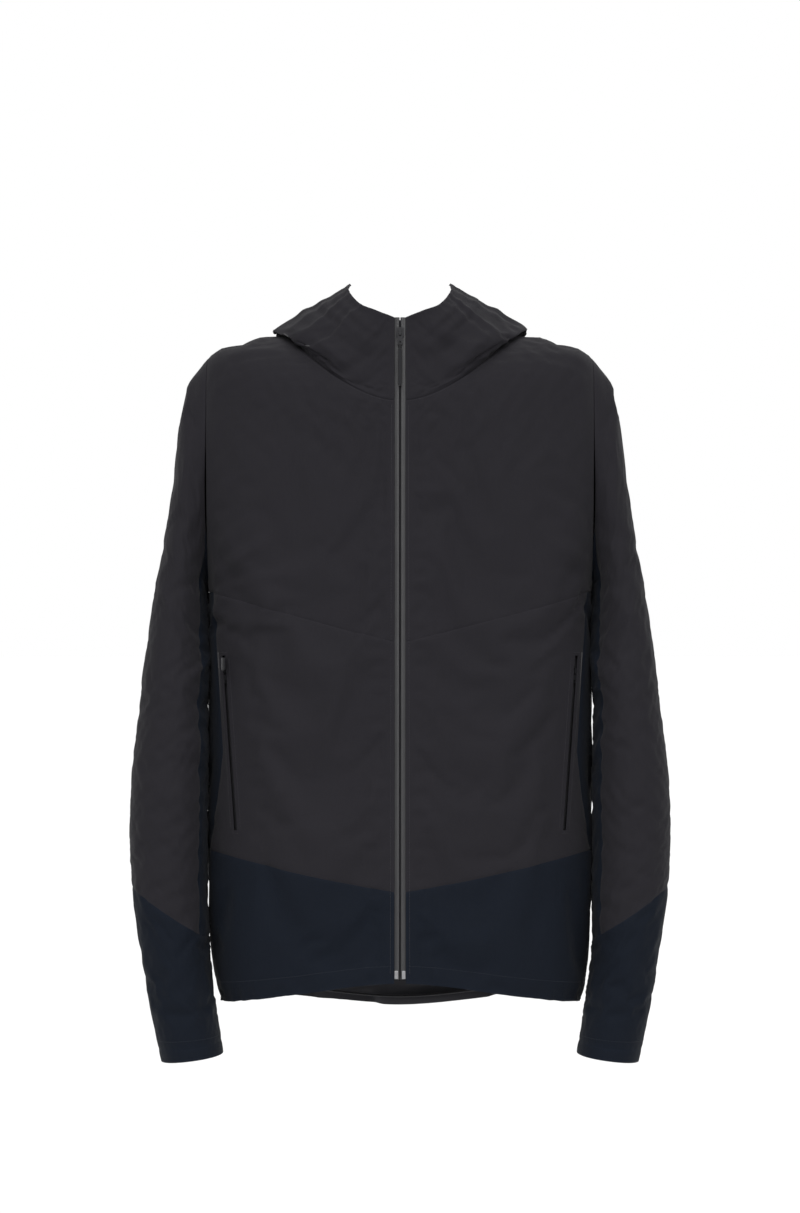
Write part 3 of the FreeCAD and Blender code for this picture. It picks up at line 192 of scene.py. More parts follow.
def edge_angle(ring):
    """Angle at which a torso ring meets the slot of the front zip."""
    return math.degrees(math.asin(ZIP_SLOT_HALF / zip_depth(ring[0])))


def torso_grid():
    """Rest grid of the torso, from the hem up, from the left front edge round to the right one."""
    shares = np.linspace(0, 1, TORSO_COLUMNS + 1)
    keys = []
    for ring in TORSO_RINGS:
        start = edge_angle(ring)
        keys.append(torso_ring(ring, start + (360 - 2 * start) * shares))
    keys = np.array(keys)
    return hermite(keys, even_positions(keys, 0, len(keys) - 1, TORSO_SPACING))


def armhole_edge(grid, degrees):
    """Points of the left armhole on its plane, at angles round its middle; 0 is the top."""
    before, after = grid[:, :-1], grid[:, 1:]
    crossing = (before[..., 0] - ARMHOLE_PLANE) * (after[..., 0] - ARMHOLE_PLANE) < 0
    start, end = before[crossing], after[crossing]
    share = ((ARMHOLE_PLANE - start[:, 0]) / (end[:, 0] - start[:, 0]))[:, None]
    points = start + (end - start) * share
    points = points[points[:, 2] > ARMHOLE_FLOOR]
    middle = (points[:, 2].min() + points[:, 2].max()) / 2
    turn = np.degrees(np.arctan2(-points[:, 1], points[:, 2] - middle)) % 360
    reach = np.hypot(points[:, 1], points[:, 2] - middle)
    order = np.argsort(turn)
    radius = np.interp(np.asarray(degrees) % 360, turn[order], reach[order], period=360)
    radians = np.radians(degrees)
    return np.stack([np.full(len(radius), ARMHOLE_PLANE + ARMHOLE_GAP),
                     -radius * np.sin(radians), middle + radius * np.cos(radians)], axis=-1)


def sleeve_ring(ring, degrees):
    """Points of a slanted sleeve ring; 0 degrees is the outer side, 90 the front."""
    outer_x, outer_z, inner_x, inner_z, middle_y, half_depth = ring
    power = 2.0 / SLEEVE_POWER
    cosine, sine = np.cos(np.radians(degrees)), np.sin(np.radians(degrees))
    across = np.sign(cosine) * np.abs(cosine) ** power
    forward = np.sign(sine) * np.abs(sine) ** power
    x = (outer_x + inner_x) / 2 + (outer_x - inner_x) / 2 * across
    z = (outer_z + inner_z) / 2 + (outer_z - inner_z) / 2 * across
    return np.stack([x, middle_y - half_depth * forward, z], axis=-1)


def sleeve_angles():
    """Column angles of a sleeve, once round from the seam at the back of the under panel."""
    return UNDER_END - 360 + np.linspace(0, 360, SLEEVE_COLUMNS + 1)


def sleeve_grid(torso, first=0, last=10, spacing=SLEEVE_SPACING):
    """Rest grid of the left sleeve from the armhole down, and the row positions of its rows."""
    degrees = sleeve_angles()
    keys = np.array([armhole_edge(torso, degrees)] + [sleeve_ring(r, degrees) for r in SLEEVE_RINGS])
    stops = [first] + [k for k in (SLEEVE_SPLIT, SLEEVE_WRIST, SLEEVE_CUFF) if first < k < last] + [last]
    positions = [np.array([first])]
    for start, end in zip(stops, stops[1:]):
        positions.append(even_positions(keys, start, end, spacing)[1:])
    positions = np.concatenate(positions)
    return hermite(keys, positions), positions


def hood_grid():
    """Rest grid of collar and hood, from the neck seam over the fold to the rim, and its columns."""
    neckline = TORSO_RINGS[-1]
    start = edge_angle(neckline)
    rim_front = (ZIP_SLOT_HALF, -zip_depth(ZIP_TOP_LEVEL), ZIP_TOP_LEVEL)
    fold_front = (ZIP_SLOT_HALF, -zip_depth(HOOD_FRONT_FOLD_LEVEL), HOOD_FRONT_FOLD_LEVEL)
    left = [(start, fold_front, rim_front, 0, 0)]
    left += [(row[0], row[1:4], row[4:7], row[7], row[8]) for row in HOOD_SECTIONS]
    flip = [(360 - angle, (-fold[0], fold[1], fold[2]), (-rim[0], rim[1], rim[2]), swell, rise)
            for angle, fold, rim, swell, rise in reversed(left[:-1])]
    keys = left + flip
    angles = np.array([key[0] for key in keys], float)
    folds = np.array([[key[1]] for key in keys], float)
    rims = np.array([[key[2]] for key in keys], float)
    bulges = np.array([[(key[3], 0, key[4])] for key in keys], float)
    last = len(keys) - 1
    stops = [0, COLLAR_END, HOOD_CENTRE_START, last - HOOD_CENTRE_START, last - COLLAR_END, last]
    per_key = HOOD_COLUMNS / last
    columns = np.concatenate([[0]] + [np.linspace(a, b, max(2, round((b - a) * per_key)) + 1)[1:]
                                      for a, b in zip(stops, stops[1:])])
    turn = np.interp(columns, np.arange(last + 1), angles)
    neck = torso_ring(neckline, turn) + np.array([0, 0, NECK_GAP])
    fold = hermite(folds, columns)[:, 0]
    rim = hermite(rims, columns)[:, 0]
    bulge = hermite(bulges, columns)[:, 0]
    outwards = np.stack([np.sin(np.radians(turn)), -np.cos(np.radians(turn)), np.zeros(len(turn))], axis=-1)
    inner = (neck + fold) / 2 + (outwards * 0.4 + np.array([0, 0, 1])) * bulge[:, 2:]
    outer = (fold + rim) / 2 + outwards * bulge[:, :1]
    rows = np.array([neck, inner, fold, outer, rim])
    return hermite(rows, even_positions(rows, 0, 4, HOOD_SPACING)), columns, last


# ---- Cloth: slack, drape and folds
def waves(grid, seed, length):
    """Gentle random waves over the points of a grid, between about -1 and 1."""
    random = np.random.default_rng(seed)
    total = np.zeros(grid.shape[:-1])
    for _ in range(9):
        direction = random.normal(size=3)
        direction /= np.linalg.norm(direction)
        total += np.sin(grid @ direction * (2 * math.pi / (length * random.uniform(0.7, 1.6)))
                        + random.uniform(0, 2 * math.pi))
    return total / 4.5


def quad_faces(rows, columns, closed=False):
    """Faces of a grid of rows by columns, as an array of four corners each."""
    r, c = np.meshgrid(np.arange(rows - 1), np.arange(columns if closed else columns - 1), indexing="ij")
    right = (c + 1) % columns
    faces = np.stack([r * columns + c, r * columns + right, (r + 1) * columns + right,
                      (r + 1) * columns + c], axis=-1)
    return faces.reshape(-1, 4)


def upsample(field, step, axis):
    """Cubic interpolation that puts step - 1 new rows between the rows of a field."""
    field = np.moveaxis(field, axis, 0)
    count = (len(field) - 1) * step + 1
    position = np.arange(count) / step
    index = np.minimum(position.astype(int), len(field) - 2)
    share = (position - index).reshape((-1,) + (1,) * (field.ndim - 1))
    last = len(field) - 1
    p0, p1 = field[np.maximum(index - 1, 0)], field[index]
    p2, p3 = field[index + 1], field[np.minimum(index + 2, last)]
    result = p1 + 0.5 * share * (p2 - p0 + share * (2 * p0 - 5 * p1 + 4 * p2 - p3
                                                    + share * (3 * (p1 - p2) + p3 - p0)))
    return np.moveaxis(result, 0, axis)


def lengthened(field):
    """The field with one more row where its last row would miss the coarse grid of the cloth."""
    if (len(field) - 1) % CLOTH_STEP:
        return np.concatenate([field, 2 * field[-1:] - field[-2:-1]])
    return field


def drape(name, grid, pins, slack, seed, closed=False):
    """Cloth simulation of a grid with some slack; returns how far each point of the grid moved."""
    rows, columns = grid.shape[:2]
    coarse = lengthened(grid)[::CLOTH_STEP, ::CLOTH_STEP]
    weights = lengthened(pins[..., None])[::CLOTH_STEP, ::CLOTH_STEP, 0]
    normals = grid_normals(coarse)
    start_waves = waves(coarse, seed, START_WAVE_LENGTH)[..., None]
    start = coarse + normals * start_waves * START_WAVE_HEIGHT * (1 - weights[..., None])
    if closed:
        start, weights = start[:, :-1], weights[:, :-1]
    shape = start.shape
    mesh = bpy.data.meshes.new(name)
    faces = quad_faces(shape[0], shape[1], closed)
    mesh.from_pydata((start.reshape(-1, 3) * MM).tolist(), [], faces.tolist())
    cloth = bpy.data.objects.new(name, mesh)
    bpy.context.collection.objects.link(cloth)
    group = cloth.vertex_groups.new(name="pins")
    for number, weight in enumerate(weights.ravel()):
        group.add([number], float(weight), "REPLACE")
    modifier = cloth.modifiers.new("cloth", "CLOTH")
    settings = modifier.settings
    settings.quality = 6
    settings.mass = 0.15
    settings.tension_stiffness = 25
    settings.compression_stiffness = 25
    settings.shear_stiffness = 8
    settings.bending_stiffness = 0.6
    settings.air_damping = 3
    settings.vertex_group_mass = "pins"
    settings.pin_stiffness = 1.0
    settings.shrink_min = -slack
    settings.effector_weights.gravity = 0.35
    modifier.collision_settings.use_collision = False
    modifier.point_cache.frame_start = 1
    modifier.point_cache.frame_end = CLOTH_FRAMES
    for number in range(1, CLOTH_FRAMES + 1):
        bpy.context.scene.frame_set(number)
    settled = cloth.evaluated_get(bpy.context.evaluated_depsgraph_get())
    points = np.empty(len(mesh.vertices) * 3, np.float32)
    settled.data.vertices.foreach_get("co", points)
    moved = points.reshape(shape).astype(float) / MM
    if closed:
        moved = np.concatenate([moved, moved[:, :1]], axis=1)
    bpy.data.objects.remove(cloth)
    bpy.context.scene.frame_set(1)
    shift = moved - coarse
    length = np.linalg.norm(shift, axis=2, keepdims=True)
    shift *= CLOTH_CAP * np.tanh(length / CLOTH_CAP) / np.maximum(length, 1e-6)
    return upsample(upsample(shift, CLOTH_STEP, 0), CLOTH_STEP, 1)[:rows, :columns]


def segment_distance(points, start, end):
    """Distance of flat points to a segment and the share along it."""
    start, end = np.array(start, float), np.array(end, float)
    run = end - start
    share = np.clip((points - start) @ run / (run @ run), 0, 1)
    nearest = start + share[..., None] * run
    return np.linalg.norm(points - nearest, axis=-1), share


def folds(points, rows):
    """Height of soft folds: rows of start, end, width, height; each fades towards its ends."""
    total = np.zeros(points.shape[:-1])
    for start, end, width, height in rows:
        distance, share = segment_distance(points, start, end)
        fade = np.sin(math.pi * (0.1 + 0.8 * share)) ** 1.5
        total += height * fade * np.exp(-(distance / width) ** 2)
    return total


def line_distance(points, line, mirrored=True):
    """Distance of flat points to a seam given as a line of points, and to its mirror image."""
    flat = points.copy()
    if mirrored:
        flat[..., 0] = np.abs(flat[..., 0])
    pairs = zip(line, line[1:])
    return np.min([segment_distance(flat, a, b)[0] for a, b in pairs], axis=0)


# Soft folds of the front: start, end (distance from the centre, height), width, height
FRONT_FOLDS = [
    ((-200, 506), (-128, 552), 7, 3.0), ((-200, 494), (-140, 520), 6, -2.2),
    ((-200, 522), (-150, 575), 8, 1.8), ((200, 520), (150, 548), 7, 2.6),
    ((200, 506), (160, 520), 6, -2.0), ((206, 500), (206, 455), 11, 3.0),
    ((-206, 500), (-206, 455), 11, 3.0), ((198, 540), (165, 590), 8, 1.4),
    ((-165, 250), (-110, 300), 7, 2.2), ((-160, 240), (-100, 262), 6, -1.6),
    ((-196, 240), (-172, 300), 6, 2.4), ((166, 246), (128, 262), 6, 2.0),
    ((196, 236), (176, 300), 6, 2.2), ((170, 236), (140, 238), 5, -1.4),
    ((-120, 690), (-60, 640), 9, 1.8), ((-105, 672), (-40, 600), 10, -1.5),
    ((-90, 690), (-30, 655), 6, 1.2), ((110, 690), (60, 640), 9, 1.6),
    ((95, 668), (35, 610), 10, -1.3), ((178, 660), (120, 600), 14, 1.4),
    ((-178, 655), (-130, 590), 14, 1.4), ((-60, 190), (-48, 110), 9, 1.8),
    ((70, 190), (86, 100), 10, 1.8), ((130, 200), (138, 90), 11, -1.8),
    ((-128, 205), (-140, 90), 11, -1.6), ((-22, 330), (-26, 200), 10, 1.2),
    ((24, 300), (30, 190), 10, 1.2), ((-20, 600), (-26, 470), 12, 1.0),
    ((22, 560), (26, 450), 12, 1.0), ((-14, 120), (-26, 100), 4, 1.0), ((15, 124), (28, 100), 4, 1.0),
]
BACK_FOLDS = [
    ((206, 500), (206, 455), 11, 3.0), ((-206, 500), (-206, 455), 11, 3.0),
    ((-190, 520), (-110, 580), 10, 3.0), ((190, 520), (110, 580), 10, 3.0),
    ((-190, 500), (-90, 520), 9, -2.2), ((190, 500), (90, 520), 9, -2.2),
    ((-60, 640), (-90, 540), 14, 2.0), ((60, 640), (90, 540), 14, 2.0),
    ((-20, 400), (-30, 230), 16, 2.6), ((35, 420), (45, 220), 16, 2.4),
    ((-110, 380), (-120, 200), 15, -2.2), ((120, 390), (128, 210), 15, -2.2),
    ((-70, 150), (-76, 70), 10, 2.0), ((75, 150), (82, 70), 10, 2.0), ((0, 160), (4, 60), 12, -1.6),
]
# Soft folds of a sleeve: start, end (angle round the sleeve in degrees, height), width, height
SLEEVE_FOLDS = [
    ((30, 560), (110, 520), 12, 1.8), ((20, 500), (120, 450), 13, 1.6),
    ((110, 400), (190, 430), 9, 3.2), ((120, 375), (200, 372), 9, -2.4),
    ((100, 350), (180, 318), 9, 2.8), ((60, 300), (150, 268), 11, 1.8),
    ((-60, 420), (20, 400), 13, 2.0), ((-70, 380), (10, 372), 13, -1.6),
    ((-60, 330), (20, 300), 13, 1.8), ((80, 130), (95, 40), 9, 1.6),
    ((40, 150), (30, 50), 10, 1.2), ((130, 120), (140, 40), 9, -1.4),
    ((-30, 160), (-40, 60), 11, 1.4), ((-80, 150), (-90, 50), 10, -1.2),
    ((182, 520), (176, 380), 30, 6.5),
]
TORSO_SEED, HOOD_SEED = 11, 23
# Share of a fold table's first coordinate in the plane the folds are laid out in
SLEEVE_SHARE, HOOD_SHARE = 0.9, 0.12
# The sleeve is stretched flatter along its outer side, which lies at 0 degrees
OUTER_TAUTNESS, OUTER_TAUT_WIDTH = 0.6, 26
# The cloth stays still near a pocket: distance, lower end of the line, distance over which it fades
POCKET_CALM, POCKET_CALM_LOW, POCKET_FADE = 7, (166.5, 205), 24
# Soft folds of collar and hood: start, end (column, row share from the neck to the rim), width, height
HOOD_FOLDS = [
    ((0.3, 0.62), (2.6, 0.80), 0.050, 2.6), ((0.3, 0.72), (2.2, 0.92), 0.042, 2.2),
    ((0.4, 0.50), (2.4, 0.62), 0.045, -2.2), ((1.0, 0.35), (2.8, 0.50), 0.045, 3.2),
    ((1.4, 0.14), (3.0, 0.36), 0.050, -2.4), ((2.2, 0.10), (3.4, 0.30), 0.050, 2.4),
    ((2.6, 0.70), (4.2, 0.80), 0.052, 2.8), ((3.0, 0.55), (4.6, 0.66), 0.046, 2.6),
    ((1.6, 0.66), (3.6, 0.74), 0.036, -2.4), ((1.2, 0.84), (3.8, 0.90), 0.030, 1.6),
    ((4.6, 0.62), (6.4, 0.74), 0.060, 3.4), ((5.0, 0.80), (7.0, 0.84), 0.055, -2.8),
    ((5.6, 0.50), (7.0, 0.60), 0.060, 2.8), ((4.8, 0.25), (6.2, 0.36), 0.070, 2.4),
]


# How the folds on the second side of the hood differ from those on the first
OTHER_RISE, OTHER_DROP, OTHER_HEIGHT = 0.04, 0.03, 0.85


def laid_out(table, share):
    """Fold table whose first coordinate is scaled to the plane the folds are laid out in."""
    return [((a[0] * share, a[1]), (b[0] * share, b[1]), w, h) for a, b, w, h in table]


def torso_finish(grid):
    """The torso's points after draping, folds and puckers, kept still at its fixed edges."""
    x, y, z = grid[..., 0], grid[..., 1], grid[..., 2]
    flat = grid[..., [0, 2]]
    rows, columns = grid.shape[:2]
    row = np.arange(rows)[:, None]
    column = np.arange(columns)[None, :]
    edge = np.minimum(column, columns - 1 - column)
    still = np.ones((rows, columns))
    still *= smooth(edge / 5.0)
    still *= smooth((rows - 1 - row) / 5.0)
    arm = smooth((ARMHOLE_PLANE - np.abs(x)) / 18)
    still *= np.where(z > 478, arm, 1.0)
    from_pocket, _ = segment_distance(np.stack([np.abs(x), z], axis=-1), POCKET_CALM_LOW, POCKET_TOP)
    still *= np.where(y < 0, smooth((from_pocket - POCKET_CALM) / POCKET_FADE), 1.0)
    pins = 1 - still
    loose = 0.10 + 0.30 * smooth((z - 560) / 120)
    pins = np.maximum(pins, loose)
    pins = np.maximum(pins, 0.35 * (1 - smooth(row / 6.0)))
    shift = drape("torso_cloth", grid, pins, TORSO_SLACK, TORSO_SEED)
    height = np.where(y < 0, folds(flat, FRONT_FOLDS), folds(flat, BACK_FOLDS))
    height += 0.9 * waves(grid * np.array([1, 1, 0.35]), 5, 120)
    pucker = np.exp(-((edge - 4) / 4.0) ** 2) * np.sin(z * 2 * math.pi / 17 + 2 * np.sin(z / 31))
    height += 0.35 * pucker
    hem = np.exp(-((z - hem_level(grid) - 12) / 9) ** 2)
    height += 0.7 * hem - 0.55 * np.exp(-((z - hem_level(grid) - 22) / 1.6) ** 2)
    normals = grid_normals(grid)
    return grid + (shift + normals * height[..., None]) * still[..., None]


def hem_level(grid):
    """Height of the hem edge under each point of the torso grid."""
    return np.broadcast_to(grid[0:1, :, 2], grid.shape[:2])


def sleeve_finish(grid, positions, seed):
    """The sleeve's points after draping and folds, kept still at the armhole."""
    degrees = np.broadcast_to(sleeve_angles()[None, :], grid.shape[:2])
    rows = np.arange(len(grid))[:, None]
    still = smooth(rows / 6.0) * np.ones(grid.shape[:2])
    pins = np.maximum(1 - still, 0.28)
    pins = np.maximum(pins, 1 - smooth((len(grid) - 4 - rows) / 14.0))
    shift = drape(f"sleeve_cloth_{seed}", grid, pins, SLEEVE_SLACK, seed, closed=True)
    flat = np.stack([degrees * SLEEVE_SHARE, grid[..., 2]], axis=-1)
    height = folds(flat, laid_out(SLEEVE_FOLDS, SLEEVE_SHARE))
    height += 0.8 * waves(grid * np.array([1, 1, 0.4]), seed, 100)
    cuff = positions[:, None] * np.ones(grid.shape[:2])
    height *= 1 - smooth((cuff - 9.0) / 0.6)
    normals = grid_normals(grid, closed=False)
    normals[:, 0] = normals[:, -1] = (normals[:, 0] + normals[:, -1]) / 2
    taut = 1 - OUTER_TAUTNESS * np.exp(-(degrees / OUTER_TAUT_WIDTH) ** 2)
    return grid + (shift + normals * height[..., None]) * (still * taut)[..., None]


def hood_finish(grid, columns, last):
    """The hood's points after draping and folds, kept still at the neck seam and the zip."""
    rows, count = grid.shape[:2]
    row_share = np.linspace(0, 1, rows)[:, None] * np.ones((1, count))
    side = np.minimum(columns, last - columns)[None, :] * np.ones((rows, 1))
    index = np.arange(count)
    still = smooth(np.minimum(index, count - 1 - index) / 6.0)[None, :]
    still = still * smooth(np.arange(rows)[:, None] / 5.0)
    pins = np.maximum(1 - still, 0.16)
    pins = np.maximum(pins, 0.4 * smooth((row_share - 0.9) / 0.1))
    shift = drape("hood_cloth", grid, pins, HOOD_SLACK, HOOD_SEED)
    flat = np.stack([side * HOOD_SHARE, row_share], axis=-1)
    left = columns[None, :] * np.ones((rows, 1)) < last / 2
    other_side = [((a[0], a[1] + OTHER_RISE), (b[0], b[1] - OTHER_DROP), w, h * OTHER_HEIGHT)
                  for a, b, w, h in HOOD_FOLDS]
    height = np.where(left, folds(flat, laid_out(HOOD_FOLDS, HOOD_SHARE)),
                      folds(flat, laid_out(other_side, HOOD_SHARE)))
    height += 0.8 * waves(grid, 31, 60)
    hem = 1 - smooth((1 - row_share) / 0.04)
    height = height * (1 - hem)
    groove = np.exp(-((row_share - 0.945) / 0.012) ** 2)
    normals = grid_normals(grid)
    return grid + (shift + normals * (height - 0.6 * groove)[..., None]) * still[..., None]


# ---- Materials
def new_material(name, colour, roughness, metallic=0.0):
    """Node material with a Principled shader; returns the material, its nodes, links and shader."""
    material = bpy.data.materials.new(name)
    material.use_nodes = True
    nodes, links = material.node_tree.nodes, material.node_tree.links
    shader = nodes["Principled BSDF"]
    shader.inputs["Base Color"].default_value = (*colour, 1)
    shader.inputs["Roughness"].default_value = roughness
    shader.inputs["Metallic"].default_value = metallic
    return material, nodes, links, shader


def math_node(nodes, links, operation, first, second):
    """Math node of two inputs, each a socket or a number; returns its output."""
    node = nodes.new("ShaderNodeMath")
    node.operation = operation
    for number, value in enumerate((first, second)):
        if isinstance(value, (int, float)):
            node.inputs[number].default_value = value
        else:
            links.new(value, node.inputs[number])
    return node.outputs[0]


def stretched_noise(nodes, links, coordinates, scale, detail):
    """Noise whose scale differs along each axis of the coordinates; returns its value."""
    mapping = nodes.new("ShaderNodeMapping")
    mapping.inputs["Scale"].default_value = scale
    links.new(coordinates, mapping.inputs["Vector"])
    noise = nodes.new("ShaderNodeTexNoise")
    noise.inputs["Scale"].default_value = 1.0
    noise.inputs["Detail"].default_value = detail
    links.new(mapping.outputs[0], noise.inputs["Vector"])
    return noise.outputs["Fac"]


def yarn_wave(nodes, links, coordinates, axis, pitch):
    """Rounded ribs of yarn across one axis of the cloth; returns their height."""
    wave = nodes.new("ShaderNodeTexWave")
    wave.bands_direction = axis
    wave.wave_profile = "SIN"
    wave.inputs["Scale"].default_value = math.pi / (10 * pitch * MM)
    wave.inputs["Distortion"].default_value = 0.6
    wave.inputs["Detail"].default_value = 1.0
    wave.inputs["Detail Scale"].default_value = 1.5
    links.new(coordinates, wave.inputs["Vector"])
    return wave.outputs["Fac"]


def tinted(nodes, links, colour, factor, low, high):
    """The colour made darker or lighter by a factor from 0 to 1; returns the colour output."""
    ramp = nodes.new("ShaderNodeMix")
    ramp.data_type = "RGBA"
    ramp.inputs["A"].default_value = (*[c * low for c in colour], 1)
    ramp.inputs["B"].default_value = (*[c * high for c in colour], 1)
    links.new(factor, ramp.inputs["Factor"])
    return ramp.outputs["Result"]


CRINKLE_DEPTH = 1.1


def woven_material(name, colour, pitch=0.42, roughness=0.72, sheen=0.25, depth=0.10):
    """Stretch woven fabric: crossing yarns, uneven threads, soft sheen and rubbed edges."""
    material, nodes, links, shader = new_material(name, colour, roughness)
    uv = nodes.new("ShaderNodeUVMap")
    uv.uv_map = "cloth"
    warp = yarn_wave(nodes, links, uv.outputs[0], "X", pitch)
    weft = yarn_wave(nodes, links, uv.outputs[0], "Y", pitch * 0.92)
    weave = math_node(nodes, links, "MULTIPLY", warp, weft)
    slub_up = stretched_noise(nodes, links, uv.outputs[0], (900, 22, 1), 3)
    slub_across = stretched_noise(nodes, links, uv.outputs[0], (22, 900, 1), 3)
    patches = stretched_noise(nodes, links, uv.outputs[0], (9, 7, 1), 4)
    threads = math_node(nodes, links, "ADD", slub_up, slub_across)
    mixed = math_node(nodes, links, "MULTIPLY_ADD", threads, 0.35)
    links.new(math_node(nodes, links, "MULTIPLY", patches, 0.3), mixed.node.inputs[2])
    factor = math_node(nodes, links, "MULTIPLY_ADD", weave, 0.18)
    links.new(mixed, factor.node.inputs[2])
    geometry = nodes.new("ShaderNodeNewGeometry")
    worn = nodes.new("ShaderNodeMapRange")
    worn.inputs["From Min"].default_value = 0.52
    worn.inputs["From Max"].default_value = 0.62
    worn.inputs["To Max"].default_value = 0.35
    links.new(geometry.outputs["Pointiness"], worn.inputs["Value"])
    factor = math_node(nodes, links, "ADD", factor, worn.outputs[0])
    links.new(tinted(nodes, links, colour, factor, 0.72, 1.32), shader.inputs["Base Color"])
    rough = nodes.new("ShaderNodeMapRange")
    rough.inputs["To Min"].default_value = roughness - 0.08
    rough.inputs["To Max"].default_value = roughness + 0.10
    links.new(threads, rough.inputs["Value"])
    links.new(rough.outputs[0], shader.inputs["Roughness"])
    shader.inputs["Sheen Weight"].default_value = sheen
    shader.inputs["Sheen Roughness"].default_value = 0.45
    shader.inputs["Specular IOR Level"].default_value = 0.14
    bump = nodes.new("ShaderNodeBump")
    bump.inputs["Strength"].default_value = 0.55
    bump.inputs["Distance"].default_value = depth * MM
    height = math_node(nodes, links, "MULTIPLY_ADD", threads, 0.8)
    links.new(weave, height.node.inputs[2])
    links.new(height, bump.inputs["Height"])
    crinkle = nodes.new("ShaderNodeBump")
    crinkle.inputs["Strength"].default_value = 0.5
    crinkle.inputs["Distance"].default_value = CRINKLE_DEPTH * MM
    links.new(stretched_noise(nodes, links, uv.outputs[0], (95, 38, 1), 4), crinkle.inputs["Height"])
    links.new(crinkle.outputs[0], bump.inputs["Normal"])
    links.new(bump.outputs[0], shader.inputs["Normal"])
    return material


def grained_material(name, colour, roughness, metallic=0.0, grain=2500, depth=0.03, coat=0.0):
    """Moulded, laminated or metal surface: fine grain, uneven gloss and rubbed edges."""
    material, nodes, links, shader = new_material(name, colour, roughness, metallic)
    coordinates = nodes.new("ShaderNodeTexCoord")
    fine = stretched_noise(nodes, links, coordinates.outputs["Object"], (grain, grain, grain), 4)
    broad = stretched_noise(nodes, links, coordinates.outputs["Object"], (90, 90, 90), 3)
    geometry = nodes.new("ShaderNodeNewGeometry")
    worn = nodes.new("ShaderNodeMapRange")
    worn.inputs["From Min"].default_value = 0.51
    worn.inputs["From Max"].default_value = 0.60
    worn.inputs["To Max"].default_value = 0.6
    links.new(geometry.outputs["Pointiness"], worn.inputs["Value"])
    factor = math_node(nodes, links, "ADD", worn.outputs[0], math_node(nodes, links, "MULTIPLY", fine, 0.5))
    links.new(tinted(nodes, links, colour, factor, 0.8, 1.9), shader.inputs["Base Color"])
    rough = nodes.new("ShaderNodeMapRange")
    rough.inputs["To Min"].default_value = max(roughness - 0.12, 0.05)
    rough.inputs["To Max"].default_value = roughness + 0.12
    links.new(broad, rough.inputs["Value"])
    links.new(rough.outputs[0], shader.inputs["Roughness"])
    shader.inputs["Coat Weight"].default_value = coat
    bump = nodes.new("ShaderNodeBump")
    bump.inputs["Strength"].default_value = 0.4
    bump.inputs["Distance"].default_value = depth * MM
    links.new(fine, bump.inputs["Height"])
    links.new(bump.outputs[0], shader.inputs["Normal"])
    return material


CHARCOAL = woven_material("charcoal_shell", (0.0112, 0.0104, 0.0132), sheen=0.04)
NAVY = woven_material("navy_shell", (0.0026, 0.0046, 0.0092), sheen=0.02)
LINING = woven_material("brushed_inside", (0.0150, 0.0148, 0.0175), pitch=0.6, roughness=0.9, sheen=0.5)
BINDING = woven_material("edge_binding", (0.0095, 0.0110, 0.0150), pitch=0.5, roughness=0.8, depth=0.14)
MESH_BAG = woven_material("pocket_mesh", (0.0160, 0.0160, 0.0185), pitch=1.1, roughness=0.85, depth=0.35)
THREAD = woven_material("thread", (0.0260, 0.0255, 0.0300), pitch=0.25, roughness=0.55, sheen=0.1)
NAVY_THREAD = woven_material("navy_thread", (0.0120, 0.0150, 0.0220), pitch=0.25, roughness=0.55, sheen=0.1)
ZIP_FILM = grained_material("zip_film", (0.0150, 0.0150, 0.0165), 0.36, grain=1800, depth=0.05, coat=0.25)
COIL = grained_material("zip_coil", (0.0120, 0.0120, 0.0135), 0.45)
CORD = woven_material("cord", (0.0100, 0.0100, 0.0115), pitch=0.5, roughness=0.7, depth=0.2)
DARK_METAL = grained_material("dark_metal", (0.0140, 0.0140, 0.0155), 0.38, metallic=0.6, grain=3500)
GREY_METAL = grained_material("grey_metal", (0.3200, 0.3200, 0.3300), 0.34, metallic=1.0, grain=3500)
PLASTIC = grained_material("black_plastic", (0.0130, 0.0130, 0.0140), 0.48, grain=3000)


# ---- Pieces
def add_piece(name, points, faces, materials, uv=None, face_materials=None, sharp=None):
    """Mesh piece from points in millimetres; uv holds one pair per point."""
    mesh = bpy.data.meshes.new(name)
    mesh.from_pydata((np.asarray(points) * MM).tolist(), [], [list(map(int, face)) for face in faces])
    for material in materials:
        mesh.materials.append(material)
    if face_materials is not None:
        mesh.polygons.foreach_set("material_index", np.asarray(face_materials, np.int32))
    mesh.polygons.foreach_set("use_smooth", np.ones(len(mesh.polygons), bool))
    layer = mesh.uv_layers.new(name="cloth")
    if uv is not None:
        corner = np.empty(len(mesh.loops), np.int32)
        mesh.loops.foreach_get("vertex_index", corner)
        layer.data.foreach_set("uv", (np.asarray(uv)[corner] * MM).astype(np.float32).ravel())
    if sharp is not None:
        keys = np.empty(len(mesh.edges) * 2, np.int32)
        mesh.edges.foreach_get("vertices", keys)
        pairs = np.sort(keys.reshape(-1, 2), axis=1)
        flags = np.array([tuple(pair) in sharp for pair in pairs.tolist()])
        mesh.attributes.new("sharp_edge", "BOOLEAN", "EDGE").data.foreach_set("value", flags)
    mesh.validate()
    mesh.update()
    piece = bpy.data.objects.new(name, mesh)
    bpy.context.collection.objects.link(piece)
    return piece


def boundary_edges(faces):
    """Directed boundary edges of a list of faces."""
    directed = set()
    for face in faces:
        for a, b in zip(face, list(face[1:]) + [face[0]]):
            directed.add((a, b))
    return [(a, b) for a, b in directed if (b, a) not in directed]


